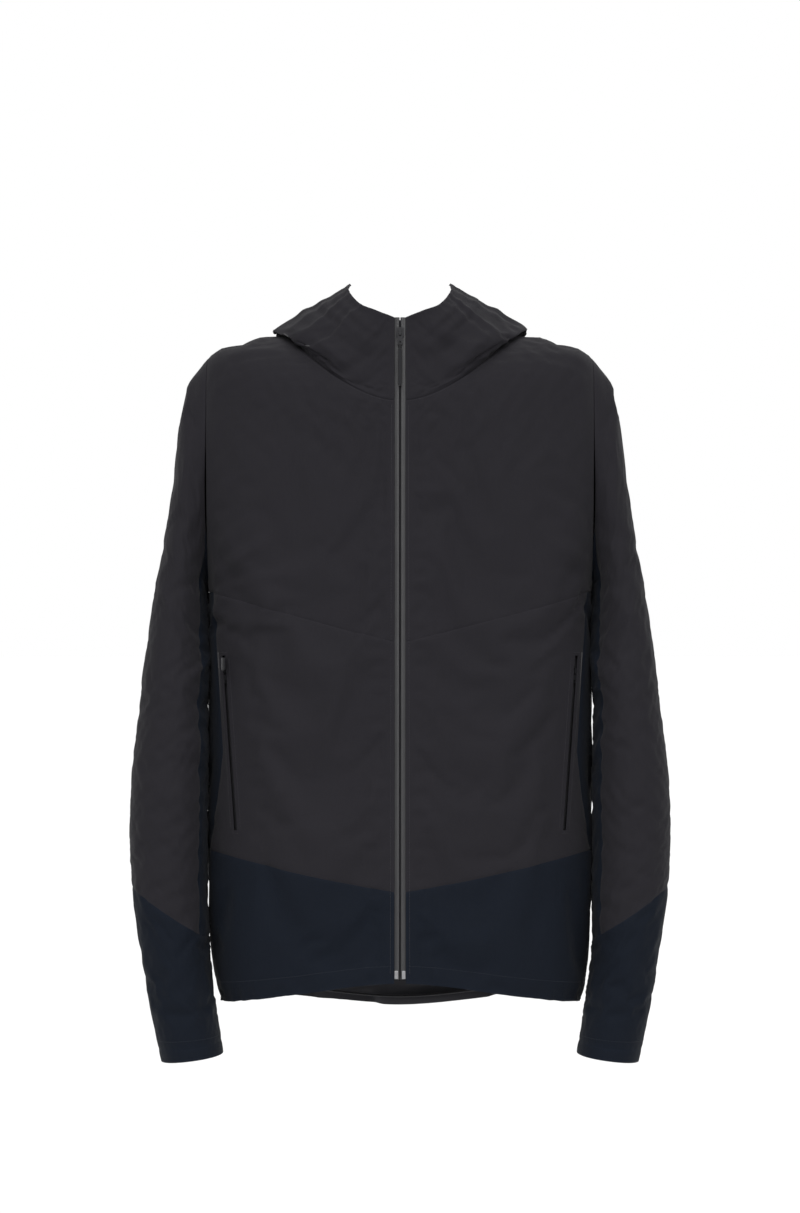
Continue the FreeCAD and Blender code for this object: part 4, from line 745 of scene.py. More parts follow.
def sheet_piece(name, points, normals, faces, uv, outside, thickness=FABRIC, is_open=None):
    """Two-sided sheet of cloth: outer face, inner face, and a rim along its real edges."""
    count = len(points)
    inner = points - normals * thickness
    rims, sharp = [], set()
    for a, b in boundary_edges(faces):
        if is_open is None or is_open(points[a], points[b]):
            rims.append((b, a, a + count, b + count))
            sharp.add((min(a, b), max(a, b)))
            sharp.add((min(a, b) + count, max(a, b) + count))
    back = [tuple(corner + count for corner in reversed(face)) for face in faces]
    indices = [0] * len(faces) + [1] * len(back) + [0] * len(rims)
    return add_piece(name, np.concatenate([points, inner]), list(faces) + back + rims, [outside, LINING],
                     np.concatenate([uv, uv]), indices, sharp)


def used_only(faces, *arrays):
    """The faces renumbered and the arrays cut down to the points that the faces use."""
    used = sorted({corner for face in faces for corner in face})
    number = {old: new for new, old in enumerate(used)}
    renumbered = [tuple(number[corner] for corner in face) for face in faces]
    return [renumbered] + [array[used] for array in arrays]


def groove(distance):
    """Depth of the pressed groove beside a seam at a distance."""
    return GROOVE_DEPTH * np.exp(-(distance / GROOVE_WIDTH) ** 2)


# ---- Torso panels, cut out of one draped sheet along the seams
def seam_level(line, across):
    """Height of a seam at a distance from the centre."""
    return np.interp(across, [p[0] for p in line], [p[1] for p in line])


def panel_name(x, y, z):
    """Name of the torso panel that a point of the rest shape belongs to, or None outside it."""
    across, side = abs(x), "left" if x > 0 else "right"
    if across > ARMHOLE_PLANE and z > ARMHOLE_FLOOR:
        return None
    if y < 0:
        if z < seam_level(HEM_SEAM, across):
            return f"front_hem_{side}"
        if z > seam_level(CHEST_SEAM, across):
            return f"front_yoke_{side}"
        if across > np.interp(z, [p[1] for p in SIDE_SEAM], [p[0] for p in SIDE_SEAM]):
            return f"side_panel_{side}"
        return None if in_pocket_slot(across, z) else f"front_body_{side}"
    if z < seam_level(BACK_HEM_SEAM, across):
        return "back_hem"
    if z > seam_level(BACK_YOKE_SEAM, across):
        return "back_yoke"
    return f"side_panel_{side}" if across > BACK_SIDE_SEAM[0][0] else "back_body"


def pocket_place(across, z):
    """Distance along and across a pocket's line."""
    low, top = np.array(POCKET_LOW, float), np.array(POCKET_TOP, float)
    run = (top - low) / np.linalg.norm(top - low)
    offset = np.stack([np.asarray(across, float), np.asarray(z, float)], axis=-1) - low
    return offset @ run, offset @ np.array([run[1], -run[0]]), np.linalg.norm(top - low)


def in_pocket_slot(across, z):
    """True inside the slot of a pocket."""
    along, beside, length = pocket_place(across, z)
    return 0 < along < length and abs(beside) < POCKET_SLOT_HALF


def cut(bm, start, end, front, offset=0.0, spare=CUT_SPARE):
    """Cut the sheet along a line seen from the front or the back, on both sides of the centre."""
    start, end = np.array(start, float), np.array(end, float)
    run = (end - start) / np.linalg.norm(end - start)
    length = np.linalg.norm(end - start)
    beside = np.array([run[1], -run[0]])
    start = start + beside * offset
    for side in (1, -1):
        faces = []
        for face in bm.faces:
            centre = face.calc_center_median() / MM
            if (centre.y < 0) != front or centre.x * side < 0:
                continue
            place = np.array([centre.x * side, centre.z]) - start
            if -spare < place @ run < length + spare and abs(place @ beside) < CUT_REACH:
                faces.append(face)
        geometry = set(faces)
        for face in faces:
            geometry.update(face.verts)
            geometry.update(face.edges)
        bmesh.ops.bisect_plane(bm, geom=list(geometry), dist=1e-7,
                               plane_co=(start[0] * side * MM, 0, start[1] * MM),
                               plane_no=(beside[0] * side, 0, beside[1]))


def cut_line(bm, line, front):
    """Cut the sheet along a seam and along both shoulders of its groove."""
    for start, end in zip(line, line[1:]):
        for offset in (-GROOVE_SHOULDER, 0.0, GROOVE_SHOULDER):
            cut(bm, start, end, front, offset)


def cut_plane(bm, point, normal, keep):
    """Cut the faces that keep() accepts by a plane."""
    faces = [face for face in bm.faces if keep(face.calc_center_median() / MM)]
    geometry = set(faces)
    for face in faces:
        geometry.update(face.verts)
        geometry.update(face.edges)
    bmesh.ops.bisect_plane(bm, geom=list(geometry), dist=1e-7, plane_co=Vector(point) * MM, plane_no=normal)


def torso_sheet(rest, final):
    """The draped torso cut along its seams, as arrays: rest points, final points, normals, uv, faces."""
    rows, columns = rest.shape[:2]
    bm = bmesh.new()
    final_layer = bm.verts.layers.float_vector.new("final")
    normal_layer = bm.verts.layers.float_vector.new("normal")
    uv_layer = bm.verts.layers.float_vector.new("place")
    normals = grid_normals(final).reshape(-1, 3)
    uv = arc_uv(rest).reshape(-1, 2)
    flat_final = final.reshape(-1, 3)
    for number, point in enumerate(rest.reshape(-1, 3) * MM):
        vertex = bm.verts.new(point)
        vertex[final_layer] = flat_final[number]
        vertex[normal_layer] = normals[number]
        vertex[uv_layer] = (*uv[number], 0)
    bm.verts.ensure_lookup_table()
    for face in quad_faces(rows, columns).tolist():
        bm.faces.new([bm.verts[corner] for corner in face])
    for line in FRONT_SEAMS:
        cut_line(bm, line, True)
    for line in BACK_SEAMS:
        cut_line(bm, line, False)
    cut_pockets(bm)
    for side in (1, -1):
        cut_plane(bm, (side * ARMHOLE_PLANE, 0, 0), (1, 0, 0),
                  lambda c: c.z > ARMHOLE_FLOOR and abs(c.x - side * ARMHOLE_PLANE) < 12)
    cut_plane(bm, (0, 0, 0), (0, 1, 0), lambda c: abs(c.y) < 12)
    bm.verts.index_update()
    points = np.array([vertex.co for vertex in bm.verts]) / MM
    placed = np.array([vertex[final_layer] for vertex in bm.verts])
    directions = np.array([vertex[normal_layer] for vertex in bm.verts])
    directions /= np.linalg.norm(directions, axis=1, keepdims=True)
    places = np.array([vertex[uv_layer] for vertex in bm.verts])[:, :2]
    faces = [tuple(vertex.index for vertex in face.verts) for face in bm.faces]
    bm.free()
    return points, placed, directions, places, faces


def cut_pockets(bm):
    """Cut the outline of the pocket slots and of the raised strip round them."""
    low, top = np.array(POCKET_LOW, float), np.array(POCKET_TOP, float)
    run = (top - low) / np.linalg.norm(top - low)
    beside = np.array([run[1], -run[0]])
    for offset in (-POCKET_SLOT_HALF, POCKET_SLOT_HALF, -5.6, 5.6):
        cut(bm, low, top, True, offset)
    for end in (low, top):
        cut(bm, end - beside * 8, end + beside * 8, True, spare=0)


def seam_groove(points):
    """Depth of the seam grooves at points of the rest shape, and the rise of the pocket strips."""
    flat = points[:, [0, 2]]
    front = np.min([line_distance(flat, line) for line in FRONT_SEAMS], axis=0)
    back = np.min([line_distance(flat, line) for line in BACK_SEAMS], axis=0)
    distance = np.where(points[:, 1] < 0, front, back)
    beyond = (points[:, 2] > 491) | (points[:, 2] < 222)
    distance = np.where(beyond, np.minimum(distance, np.abs(points[:, 1])), distance)
    arm = np.hypot(np.abs(points[:, 0]) - ARMHOLE_PLANE, np.maximum(505 - points[:, 2], 0))
    distance = np.minimum(distance, arm)
    return groove(distance) - pocket_rise(points)


def pocket_rise(points):
    """Rise of the laminated strip round a pocket's slot."""
    along, beside, length = pocket_place(np.abs(points[:, 0]), points[:, 2])
    ends = smooth((along + 8) / 8) * smooth((length + 8 - along) / 8)
    strip = smooth((6.6 - np.abs(beside)) / 1.8)
    return np.where(points[:, 1] < 0, 0.55 * ends * strip, 0.0)


PANEL_FINISH = {
    "front_yoke": (CHARCOAL, "shell_charcoal"), "front_body": (CHARCOAL, "shell_charcoal"),
    "front_hem": (NAVY, "shell_navy"), "side_panel": (NAVY, "shell_navy"),
    "back_yoke": (CHARCOAL, "shell_charcoal"), "back_body": (CHARCOAL, "shell_charcoal"),
    "back_hem": (NAVY, "shell_navy"),
}


def make_torso(rest, final):
    """All panels of the torso; returns a tree for finding places on the draped torso."""
    points, placed, normals, places, faces = torso_sheet(rest, final)
    placed = placed - normals * seam_groove(points)[:, None]
    centres = np.array([points[list(face)].mean(axis=0) for face in faces])
    panels = {}
    for face, centre in zip(faces, centres):
        name = panel_name(*centre)
        if name:
            panels.setdefault(name, []).append(face)
    for name, panel_faces in sorted(panels.items()):
        cloth, slot = PANEL_FINISH[name.replace("_left", "").replace("_right", "")]
        renumbered, shape, directions, uv = used_only(panel_faces, placed, normals, places)
        piece = sheet_piece(f"{name}_cloth", shape, directions, renumbered, uv, cloth)
        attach(piece, "torso")
        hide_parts(name)
    kept = [face for names in panels.values() for face in names]
    return BVHTree.FromPolygons((placed * MM).tolist(), kept)


# ---- Sleeves
def grid_piece(name, grid, normals, uv, outside, thickness=FABRIC, is_open=None, flip=False):
    """Sheet piece from a rectangular part of a grid."""
    faces = quad_faces(grid.shape[0], grid.shape[1])
    if flip:
        faces = faces[:, ::-1]
    return sheet_piece(name, grid.reshape(-1, 3), normals.reshape(-1, 3), [tuple(f) for f in faces.tolist()],
                       uv.reshape(-1, 2), outside, thickness, is_open)


def mirror(array, side):
    """The array with x turned round on the right side."""
    return array * np.array([side, 1, 1])


def make_sleeve(side_name, side, rest, final, positions):
    """Pieces of one sleeve: outer and under cloth above and below the elbow, forearm and cuff."""
    degrees = sleeve_angles()
    normals = grid_normals(final)
    ends = normals[:, 0] + normals[:, -1]
    normals[:, 0] = normals[:, -1] = ends / np.linalg.norm(ends, axis=1, keepdims=True)
    uv = arc_uv(rest)
    split = int(np.argmin(np.abs(positions - SLEEVE_SPLIT)))
    wrist = int(np.argmin(np.abs(positions - SLEEVE_WRIST)))
    cuff = int(np.argmin(np.abs(positions - SLEEVE_CUFF)))
    under = int(np.argmin(np.abs(degrees - UNDER_START)))
    along = uv[:, 0, 1]
    around = uv[0, :, 0]
    dip = groove(np.abs(along))[:, None] + groove(along - along[wrist])[:, None]
    dip = dip + groove(along - along[cuff])[:, None] * 0.6
    upper = (np.arange(len(along)) < wrist)[:, None]
    edge = np.minimum(np.abs(around - around[under]), np.minimum(around, around[-1] - around))
    dip = dip + np.where(upper, groove(edge * 0.6)[None, :], 0)
    final = mirror(final - normals * dip[..., None], side)
    normals = mirror(normals, side)
    last, around_end = len(positions) - 1, len(degrees) - 1
    arm, forearm = f"upper_arm_{side_name}", f"forearm_part_{side_name}"
    spans = [
        ("sleeve_upper", 0, split, 0, under, CHARCOAL, "shell_charcoal", ["sleeve_head", "upper_sleeve"]),
        ("sleeve_upper_under", 0, split, under, around_end, NAVY, "shell_navy", ["upper_sleeve_under"]),
        ("sleeve_lower", split, wrist, 0, under, CHARCOAL, "shell_charcoal", ["lower_sleeve"]),
        ("sleeve_lower_under", split, wrist, under, around_end, NAVY, "shell_navy", ["lower_sleeve_under"]),
        ("forearm_panel", wrist, cuff, 0, around_end, NAVY, "shell_navy", ["forearm"]),
        ("cuff_edge", cuff, last, 0, around_end, NAVY, "shell_navy", ["cuff_binding"]),
    ]
    for name, top, low, first, end, cloth, slot, nodes in spans:
        rows, columns = slice(top, low + 1), slice(first, end + 1)

        def is_open(a, b):
            return not (on_row(a, final[split]) and on_row(b, final[split]))

        piece = grid_piece(f"{name}_{side_name}", final[rows, columns], normals[rows, columns],
                           uv[rows, columns], cloth, is_open=is_open, flip=side < 0)
        if top == 0:
            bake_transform(piece)
        elif top == split:
            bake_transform(piece)
        else:
            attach(piece, forearm)
        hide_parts(*[f"{node}_{side_name}" for node in nodes])
    return final, normals


def on_row(point, row):
    """True if a point is one of the points of a row."""
    return np.min(np.abs(row - point).sum(axis=1)) < 1e-6


# ---- Collar and hood
NECK_TUCK = 1.3


def make_hood(final, columns, last):
    """Both collar halves, both hood sides and the hood's centre panel."""
    normals = grid_normals(final)
    uv = arc_uv(final)
    seams = [0, COLLAR_END, HOOD_CENTRE_START, last - HOOD_CENTRE_START, last - COLLAR_END, last]
    at = [int(np.argmin(np.abs(columns - seam))) for seam in seams]
    spacing = np.linalg.norm(np.diff(final, axis=1), axis=2).mean(axis=0)
    around = np.concatenate([[0], np.cumsum(spacing)])
    dip = np.sum([groove((around - around[k]) * 0.7) for k in at[1:-1]], axis=0)[None, :]
    final = final - normals * dip[..., None]
    outwards = final[0] * np.array([1, 1, 0])
    outwards /= np.linalg.norm(outwards, axis=1, keepdims=True)
    final[0] -= outwards * NECK_TUCK + np.array([0, 0, NECK_TUCK])
    names = ["collar_left", "hood_side_left", "hood_centre", "hood_side_right", "collar_right"]
    for name, first, end in zip(names, at, at[1:]):
        part = slice(first, end + 1)
        piece = grid_piece(f"{name}_cloth", final[:, part], normals[:, part], uv[:, part], CHARCOAL)
        if name.startswith("collar"):
            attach(piece, "torso")
        else:
            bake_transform(piece)
        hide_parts(name)
    return final, normals


# ---- Zip tapes, coils and stitching
# Half section of the front zip: distance from the middle and depth under the face of the cloth
ZIP_SECTION = [(8.0, 1.9), (6.6, 1.5), (5.6, 1.15), (4.6, 0.95), (3.6, 0.80), (2.7, 0.70), (1.8, 0.78),
               (1.1, 1.05), (0.55, 1.6), (0.4, 2.4)]
ZIP_RIB_PITCH, ZIP_RIB_HEIGHT = 1.5, 0.10


def make_zip_film(side_name, side):
    """One half of the front zip's laminated tape, with the coil's fine ribs pressed through it."""
    length = math.hypot(ZIP_TOP_LEVEL - ZIP_LOW_LEVEL, ZIP_LOW_DEPTH - ZIP_TOP_DEPTH)
    count = round(length / (ZIP_RIB_PITCH / 4))
    travel = np.linspace(0, length, count + 1)
    levels = ZIP_LOW_LEVEL + (ZIP_TOP_LEVEL - ZIP_LOW_LEVEL) * travel / length
    up = np.array([0, ZIP_LOW_DEPTH - ZIP_TOP_DEPTH, ZIP_TOP_LEVEL - ZIP_LOW_LEVEL]) / length
    out = np.array([0, -up[2], up[1]])
    rows = []
    for along, level in zip(travel, levels):
        base = np.array([0, -zip_depth(level), level])
        ripple = ZIP_RIB_HEIGHT * math.cos(2 * math.pi * along / ZIP_RIB_PITCH)
        row = []
        for across, depth in ZIP_SECTION:
            pressed = ripple * math.exp(-((across - 1.9) / 1.2) ** 2)
            row.append(base + np.array([across * side, 0, 0]) - out * (depth + pressed))
        rows.append(row)
    grid = np.array(rows)
    normals = grid_normals(grid) * -side
    piece = grid_piece(f"zip_film_{side_name}", grid, normals, arc_uv(grid), ZIP_FILM,
                       thickness=0.35, flip=side > 0)
    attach(piece, "torso")
    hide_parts(f"zip_tape_{side_name}")


def capsule(start, end, up, radius):
    """Points and faces of a flattened capsule from start to end: one stitch."""
    run = end - start
    length = np.linalg.norm(run)
    run = run / length
    beside = np.cross(run, up)
    beside /= max(np.linalg.norm(beside), 1e-9)
    points, faces, sides = [], [], 6
    for share, scale in ((0.0, 0.35), (0.2, 0.9), (0.5, 1.0), (0.8, 0.9), (1.0, 0.35)):
        lift = math.sin(math.pi * share) * radius * 0.8
        for k in range(sides):
            angle = 2 * math.pi * k / sides
            points.append(start + run * length * share + up * (lift + math.sin(angle) * radius * scale * 0.8)
                          + beside * math.cos(angle) * radius * scale)
    for ring in range(4):
        for k in range(sides):
            a, b = ring * sides + k, ring * sides + (k + 1) % sides
            faces.append((a, b, b + sides, a + sides))
    faces.append(tuple(range(sides - 1, -1, -1)))
    faces.append(tuple(range(4 * sides, 5 * sides)))
    return points, faces


def point_along(travel, points, place):
    """Point, or normal, at a distance along a line."""
    return np.array([np.interp(place, travel, points[:, k]) for k in range(3)])


def stitch_points(points, normals, pitch, length, radius):
    """Stitches along a line of points on the cloth, as points and faces."""
    points, normals = np.asarray(points), np.asarray(normals)
    steps = np.linalg.norm(np.diff(points, axis=0), axis=1)
    travel = np.concatenate([[0], np.cumsum(steps)])
    all_points, all_faces = [], []
    for start in np.arange(pitch, travel[-1] - pitch, pitch):
        ends = [point_along(travel, points, place) for place in (start, start + length)]
        up = point_along(travel, normals, start)
        up /= np.linalg.norm(up)
        new_points, new_faces = capsule(ends[0], ends[1], up, radius)
        base = len(all_points)
        all_points += new_points
        all_faces += [tuple(corner + base for corner in face) for face in new_faces]
    return all_points, all_faces


STITCH_PITCH, STITCH_LENGTH, STITCH_RADIUS = 3.2, 2.3, 0.22


def make_stitches(name, lines, body, thread=THREAD):
    """One piece of stitching from several lines, each a pair of points and normals."""
    points, faces = [], []
    for line, normals in lines:
        new_points, new_faces = stitch_points(line, normals, STITCH_PITCH, STITCH_LENGTH, STITCH_RADIUS)
        faces += [tuple(corner + len(points) for corner in face) for face in new_faces]
        points += new_points
    piece = add_piece(name, np.array(points), faces, [thread], np.array(points)[:, [0, 2]])
    if isinstance(body, str):
        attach(piece, body)
    else:
        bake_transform(piece)
    return piece


def project(tree, line, front, step=2.0):
    """Points and normals on the draped torso along a line seen from the front or the back."""
    line = np.array(line, float)
    travel = np.concatenate([[0], np.cumsum(np.linalg.norm(np.diff(line, axis=0), axis=1))])
    places = np.arange(0, travel[-1], step)
    points, normals = [], []
    for place in places:
        x, z = (np.interp(place, travel, line[:, k]) for k in (0, 1))
        direction = 1 if front else -1
        hit = tree.ray_cast(Vector((x * MM, -direction * 0.5, z * MM)), Vector((0, direction, 0)))
        if hit[0] is not None:
            normal = hit[1] if hit[1].y * direction < 0 else -hit[1]
            points.append(np.array(hit[0]) / MM)
            normals.append(np.array(normal))
    return np.array(points), np.array(normals)


def shifted(line, distance):
    """The line moved sideways in the plane it is seen in."""
    line = np.array(line, float)
    runs = np.gradient(line, axis=0)
    runs /= np.linalg.norm(runs, axis=1, keepdims=True)
    return line + np.stack([-runs[:, 1], runs[:, 0]], axis=1) * distance


# Hem width, and the column of the torso it is measured along; distance of the pocket stitches from
# the slot, beside it and past its ends; distance of the cuff stitches from the sleeve's end
HEM_WIDTH, HEM_COLUMN, POCKET_STITCH, POCKET_END_STITCH, CUFF_WIDTH = 21, 60, 5.2, 3.0, 17


def make_torso_stitching(tree, final):
    """Stitching of the hem, front edges, pockets and neckline."""
    normals = grid_normals(final)
    travel = np.cumsum(np.linalg.norm(np.diff(final[:, HEM_COLUMN], axis=0), axis=1))
    hem_row = int(np.argmin(np.abs(travel - HEM_WIDTH))) + 1
    make_stitches("hem_stitching", [(final[hem_row], normals[hem_row])], "torso", NAVY_THREAD)
    rows = slice(2, len(final) - 2)
    edges = [(final[rows, 1], normals[rows, 1]), (final[rows, -2], normals[rows, -2])]
    make_stitches("front_edge_stitching", edges, "torso")
    neck = len(final) - 2
    make_stitches("neckline_stitching", [(final[neck], normals[neck])], "torso")
    lines = []
    for side in (1, -1):
        low, top = np.array(POCKET_LOW, float), np.array(POCKET_TOP, float)
        for distance in (-POCKET_STITCH, POCKET_STITCH):
            line = shifted([low, top], distance) * np.array([side, 1])
            lines.append(project(tree, line, True))
        for end, away in ((low, -POCKET_END_STITCH), (top, POCKET_END_STITCH)):
            across = np.array([end + (-POCKET_STITCH, away), end + (POCKET_STITCH, away)])
            lines.append(project(tree, across * np.array([side, 1]), True))
    make_stitches("pocket_stitching", lines, "torso")


# ---- Small soft pieces
TUBE_SIDES, STRAND_LAY, STRAND_RISE = 14, 9.0, 0.07


def tube(path, radius, sides=TUBE_SIDES, strands=0, lay=STRAND_LAY):
    """Points, faces and uv of a tube along a path, with the raised strands of a braid."""
    path = np.asarray(path, float)
    tangents = np.gradient(path, axis=0)
    tangents /= np.linalg.norm(tangents, axis=1, keepdims=True)
    travel = np.concatenate([[0], np.cumsum(np.linalg.norm(np.diff(path, axis=0), axis=1))])
    side = np.cross(tangents, np.array([0.13, 0.21, 0.97]))
    side /= np.linalg.norm(side, axis=1, keepdims=True)
    other = np.cross(tangents, side)
    angles = np.linspace(0, 2 * math.pi, sides, endpoint=False)
    points, uv = [], []
    for k, centre in enumerate(path):
        turn = 2 * math.pi * travel[k] / lay
        bump = 1
        if strands:
            bump = 1 + STRAND_RISE * np.cos(strands * angles + turn) * np.cos(strands * angles - turn)
        reach = radius * bump * np.ones(sides)
        points.append(centre + (np.cos(angles) * reach)[:, None] * side[k]
                      + (np.sin(angles) * reach)[:, None] * other[k])
        uv.append(np.stack([angles * radius, np.full(sides, travel[k])], axis=-1))
    faces = [tuple(f) for f in quad_faces(len(path), sides, closed=True).tolist()]
    faces += [tuple(range(sides - 1, -1, -1)), tuple(range((len(path) - 1) * sides, len(path) * sides))]
    return np.concatenate(points), faces, np.concatenate(uv)


def dense_path(points, step):
    """Path through the points with rows about a step apart."""
    keys = np.array(points, float)[:, None, :]
    return hermite(keys, even_positions(keys, 0, len(keys) - 1, step))[:, 0]


CORD_INSET, CORD_RISE, CORD_SKIP, CORD_RADIUS = 9, 8, 20, 1.25


def make_hem_cord(rest):
    """Elastic drawcord inside the hem."""
    row = rest[0, CORD_SKIP:-CORD_SKIP]
    normals = grid_normals(rest)[0, CORD_SKIP:-CORD_SKIP] * np.array([1, 1, 0])
    normals /= np.linalg.norm(normals, axis=1, keepdims=True)
    path = dense_path((row - normals * CORD_INSET + np.array([0, 0, CORD_RISE]))[::4], 1.2)
    points, faces, uv = tube(path, CORD_RADIUS, strands=4)
    piece = add_piece("hem_drawcord", points, faces, [CORD], uv)
    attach(piece, "torso")
    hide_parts("hem_cord")


def make_hem_facing(final):
    """The turned-up inside of the hem."""
    rows = slice(0, 7)
    normals = grid_normals(final)[rows]
    inner = final[rows] - normals * (FABRIC + 0.35)
    piece = grid_piece("hem_facing", inner, normals, arc_uv(inner), NAVY, thickness=0.5)
    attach(piece, "torso")


def box_mm(node):
    """Lowest and highest corner of a CAD node in millimetres."""
    low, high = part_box(node)
    return np.array(low) / MM, np.array(high) / MM


# Distance of the eyelets from the CAD cord's ends, length of the cord inside the hood, its dip beside
# the lock, spacing of its sections
EYELET_AWAY, CORD_TAIL, CORD_DIP, CORD_STEP = 5, 2.5, 1.0, 0.8


def make_hood_cord(final, normals):
    """Hood's drawcord: out of one eyelet in the centre panel, through its lock, into the other."""
    low, high = box_mm("hood_cord")
    middle = (low + high) / 2
    radius = (high[2] - low[2]) / 2
    reach = (high[0] - low[0]) / 2
    outside = np.arange(final.shape[0])[:, None] > final.shape[0] // 2
    ends = []
    for side in (-1, 1):
        target = np.array([side * (reach + EYELET_AWAY), middle[1], middle[2]])
        gap = np.where(outside, np.linalg.norm(final - target, axis=2), np.inf)
        ends.append(np.unravel_index(np.argmin(gap), gap.shape))
    holes = [final[end] for end in ends]
    inside = [final[end] - normals[end] * CORD_TAIL for end in ends]
    path = dense_path([inside[0], holes[0], middle + [-reach, -CORD_DIP, 0], middle - [reach * 0.5, 0, 0],
                       middle + [reach * 0.5, 0, 0], middle + [reach, -CORD_DIP, 0], holes[1], inside[1]],
                      CORD_STEP)
    points, faces, uv = tube(path, radius, strands=4)
    piece = add_piece("hood_drawcord", points, faces, [CORD], uv)
    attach(piece, "hood")
    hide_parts("hood_cord")
    for name, hole, end in zip(("right", "left"), holes, ends):
        make_eyelet(f"hood_eyelet_{name}", hole, normals[end])


EYELET_RADIUS, EYELET_WIRE, EYELET_RISE = 3.1, 0.9, 0.2


def make_eyelet(name, centre, normal):
    """Pressed metal ring round a cord's hole."""
    across = np.cross(normal, [0, 0, 1.0])
    across /= np.linalg.norm(across)
    upright = np.cross(normal, across)
    turns = np.linspace(0, 2 * math.pi, 41)
    ring = [centre + normal * EYELET_RISE + EYELET_RADIUS * (across * math.cos(t) + upright * math.sin(t))
            for t in turns]
    points, faces, uv = tube(np.array(ring), EYELET_WIRE, strands=0)
    piece = add_piece(name, points, faces, [DARK_METAL], uv)
    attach(piece, "hood")


def make_neck_tape(final):
    """Herringbone tape over the neckline seam inside."""
    normals = grid_normals(final)
    rows = slice(len(final) - 5, len(final))
    columns = slice(15, -15)
    inner = final[rows, columns] - normals[rows, columns] * 1.6
    piece = grid_piece("neckline_tape", inner, normals[rows, columns], arc_uv(inner), BINDING,
                       thickness=0.6)
    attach(piece, "torso")
    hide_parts("neck_tape")


def make_hanger_loop():
    """Narrow woven loop at the back of the neck."""
    low, high = box_mm("hanger_loop")
    middle_x, half = (low[0] + high[0]) / 2, (high[0] - low[0]) / 2
    shares = np.linspace(-1, 1, 41)
    rows = []
    for lift in np.linspace(0, high[2] - low[2], 9):
        bow = (high[1] - low[1] - 1.0) * (1 - np.abs(shares) ** 2.4)
        level = np.full(len(shares), low[2] + lift)
        rows.append(np.stack([middle_x + half * shares, high[1] - 0.6 - bow, level], axis=-1))
    grid = np.array(rows)
    normals = grid_normals(grid)
    piece = grid_piece("hanging_loop", grid, normals, arc_uv(grid), BINDING, thickness=0.9)
    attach(piece, "torso")
    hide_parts("hanger_loop")


def make_storm_flap():
    """Soft flap behind the front zip."""
    low, high = box_mm("storm_flap")
    levels = np.linspace(low[2] + 2, high[2] - 2, 170)
    across = np.linspace(-(high[0] - low[0]) / 2, (high[0] - low[0]) / 2, 13)
    rows = []
    for level in levels:
        wave = 0.4 * math.sin(level / 19) * np.cos(across / 6)
        depth = zip_depth(level) - 7.2 + wave
        rows.append(np.stack([across, -depth, np.full(len(across), level)], axis=-1))
    grid = np.array(rows)
    piece = grid_piece("wind_flap", grid, grid_normals(grid), arc_uv(grid), CHARCOAL,
                       thickness=0.7)
    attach(piece, "torso")
    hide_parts("storm_flap")


# Distance of a bag behind the front, and its place where no front lies before it
BAG_INSET, BAG_SIDE_DEPTH = 10, -100


def make_pocket_bag(tree, side_name):
    """Mesh pocket bag: two soft layers that meet in a sewn edge."""
    low, high = box_mm(f"pocket_bag_{side_name}")
    xs = np.linspace(low[0] + 2, high[0] - 2, 40)
    zs = np.linspace(low[2] + 2, high[2] - 2, 56)
    outer = []
    for z in zs:
        row = []
        for x in xs:
            hit = tree.ray_cast(Vector((x * MM, -0.5, z * MM)), Vector((0, 1, 0)))
            if hit[0] is not None and hit[0].y < 0:
                row.append((x, hit[0].y / MM + BAG_INSET, z))
            elif row:
                row.append((x, row[-1][1], z))
            else:
                row.append((x, BAG_SIDE_DEPTH, z))
        outer.append(row)
    grid = np.array(outer)
    u = np.linspace(0, 1, len(xs))[None, :]
    v = np.linspace(0, 1, len(zs))[:, None]
    fullness = (smooth(np.minimum(u, 1 - u) / 0.12) * smooth(np.minimum(v, 1 - v) / 0.08))[..., None]
    ripple = (0.5 * waves(grid, 41, 40))[..., None]
    back = grid + np.array([0, 1, 0]) * (0.5 + (2.6 + ripple) * fullness)
    for name, layer in (("front", grid), ("back", back)):
        piece = grid_piece(f"pocket_{name}_{side_name}", layer, grid_normals(layer), arc_uv(layer), MESH_BAG,
                           thickness=0.3)
        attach(piece, "torso")
        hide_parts(f"pocket_bag_{side_name}")


def make_pocket_tape(side_name, side):
    """Laminated tape and closed coil of a pocket zip, under the slot."""
    low, top = np.array(POCKET_LOW, float), np.array(POCKET_TOP, float)
    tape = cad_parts[f"pocket_tape_{side_name}"]
    tree = BVHTree.FromObject(tape, bpy.context.evaluated_depsgraph_get())
    length = np.linalg.norm(top - low)
    run = (top - low) / length
    beside = np.array([run[1], -run[0]])
    rows = []
    for along in np.arange(-4, length + 4, 0.375):
        row = []
        for across in np.linspace(-7, 7, 23):
            place = low + run * along + beside * across
            row.append((place[0] * side, place[1], across, along))
        rows.append(row)
    grid = np.zeros((len(rows), 23, 3))
    for i, row in enumerate(rows):
        for j, (x, z, across, along) in enumerate(row):
            hit = tree.find_nearest(Vector((x * MM, grid[i - 1, j, 1] * MM if i else -0.09, z * MM)))
            y = hit[0].y / MM
            crown = 0.9 * math.exp(-(across / 2.2) ** 2)
            rib = 0.12 * math.cos(2 * math.pi * along / ZIP_RIB_PITCH) * math.exp(-(across / 1.6) ** 2)
            seam = -0.5 * math.exp(-(across / 0.3) ** 2)
            grid[i, j] = (x, y - (crown + rib + seam) * 0.6, z)
    piece = grid_piece(f"pocket_zip_film_{side_name}", grid, grid_normals(grid) * side, arc_uv(grid),
                       ZIP_FILM, thickness=0.3, flip=side < 0)
    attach(piece, "torso")
    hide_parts(f"pocket_tape_{side_name}")


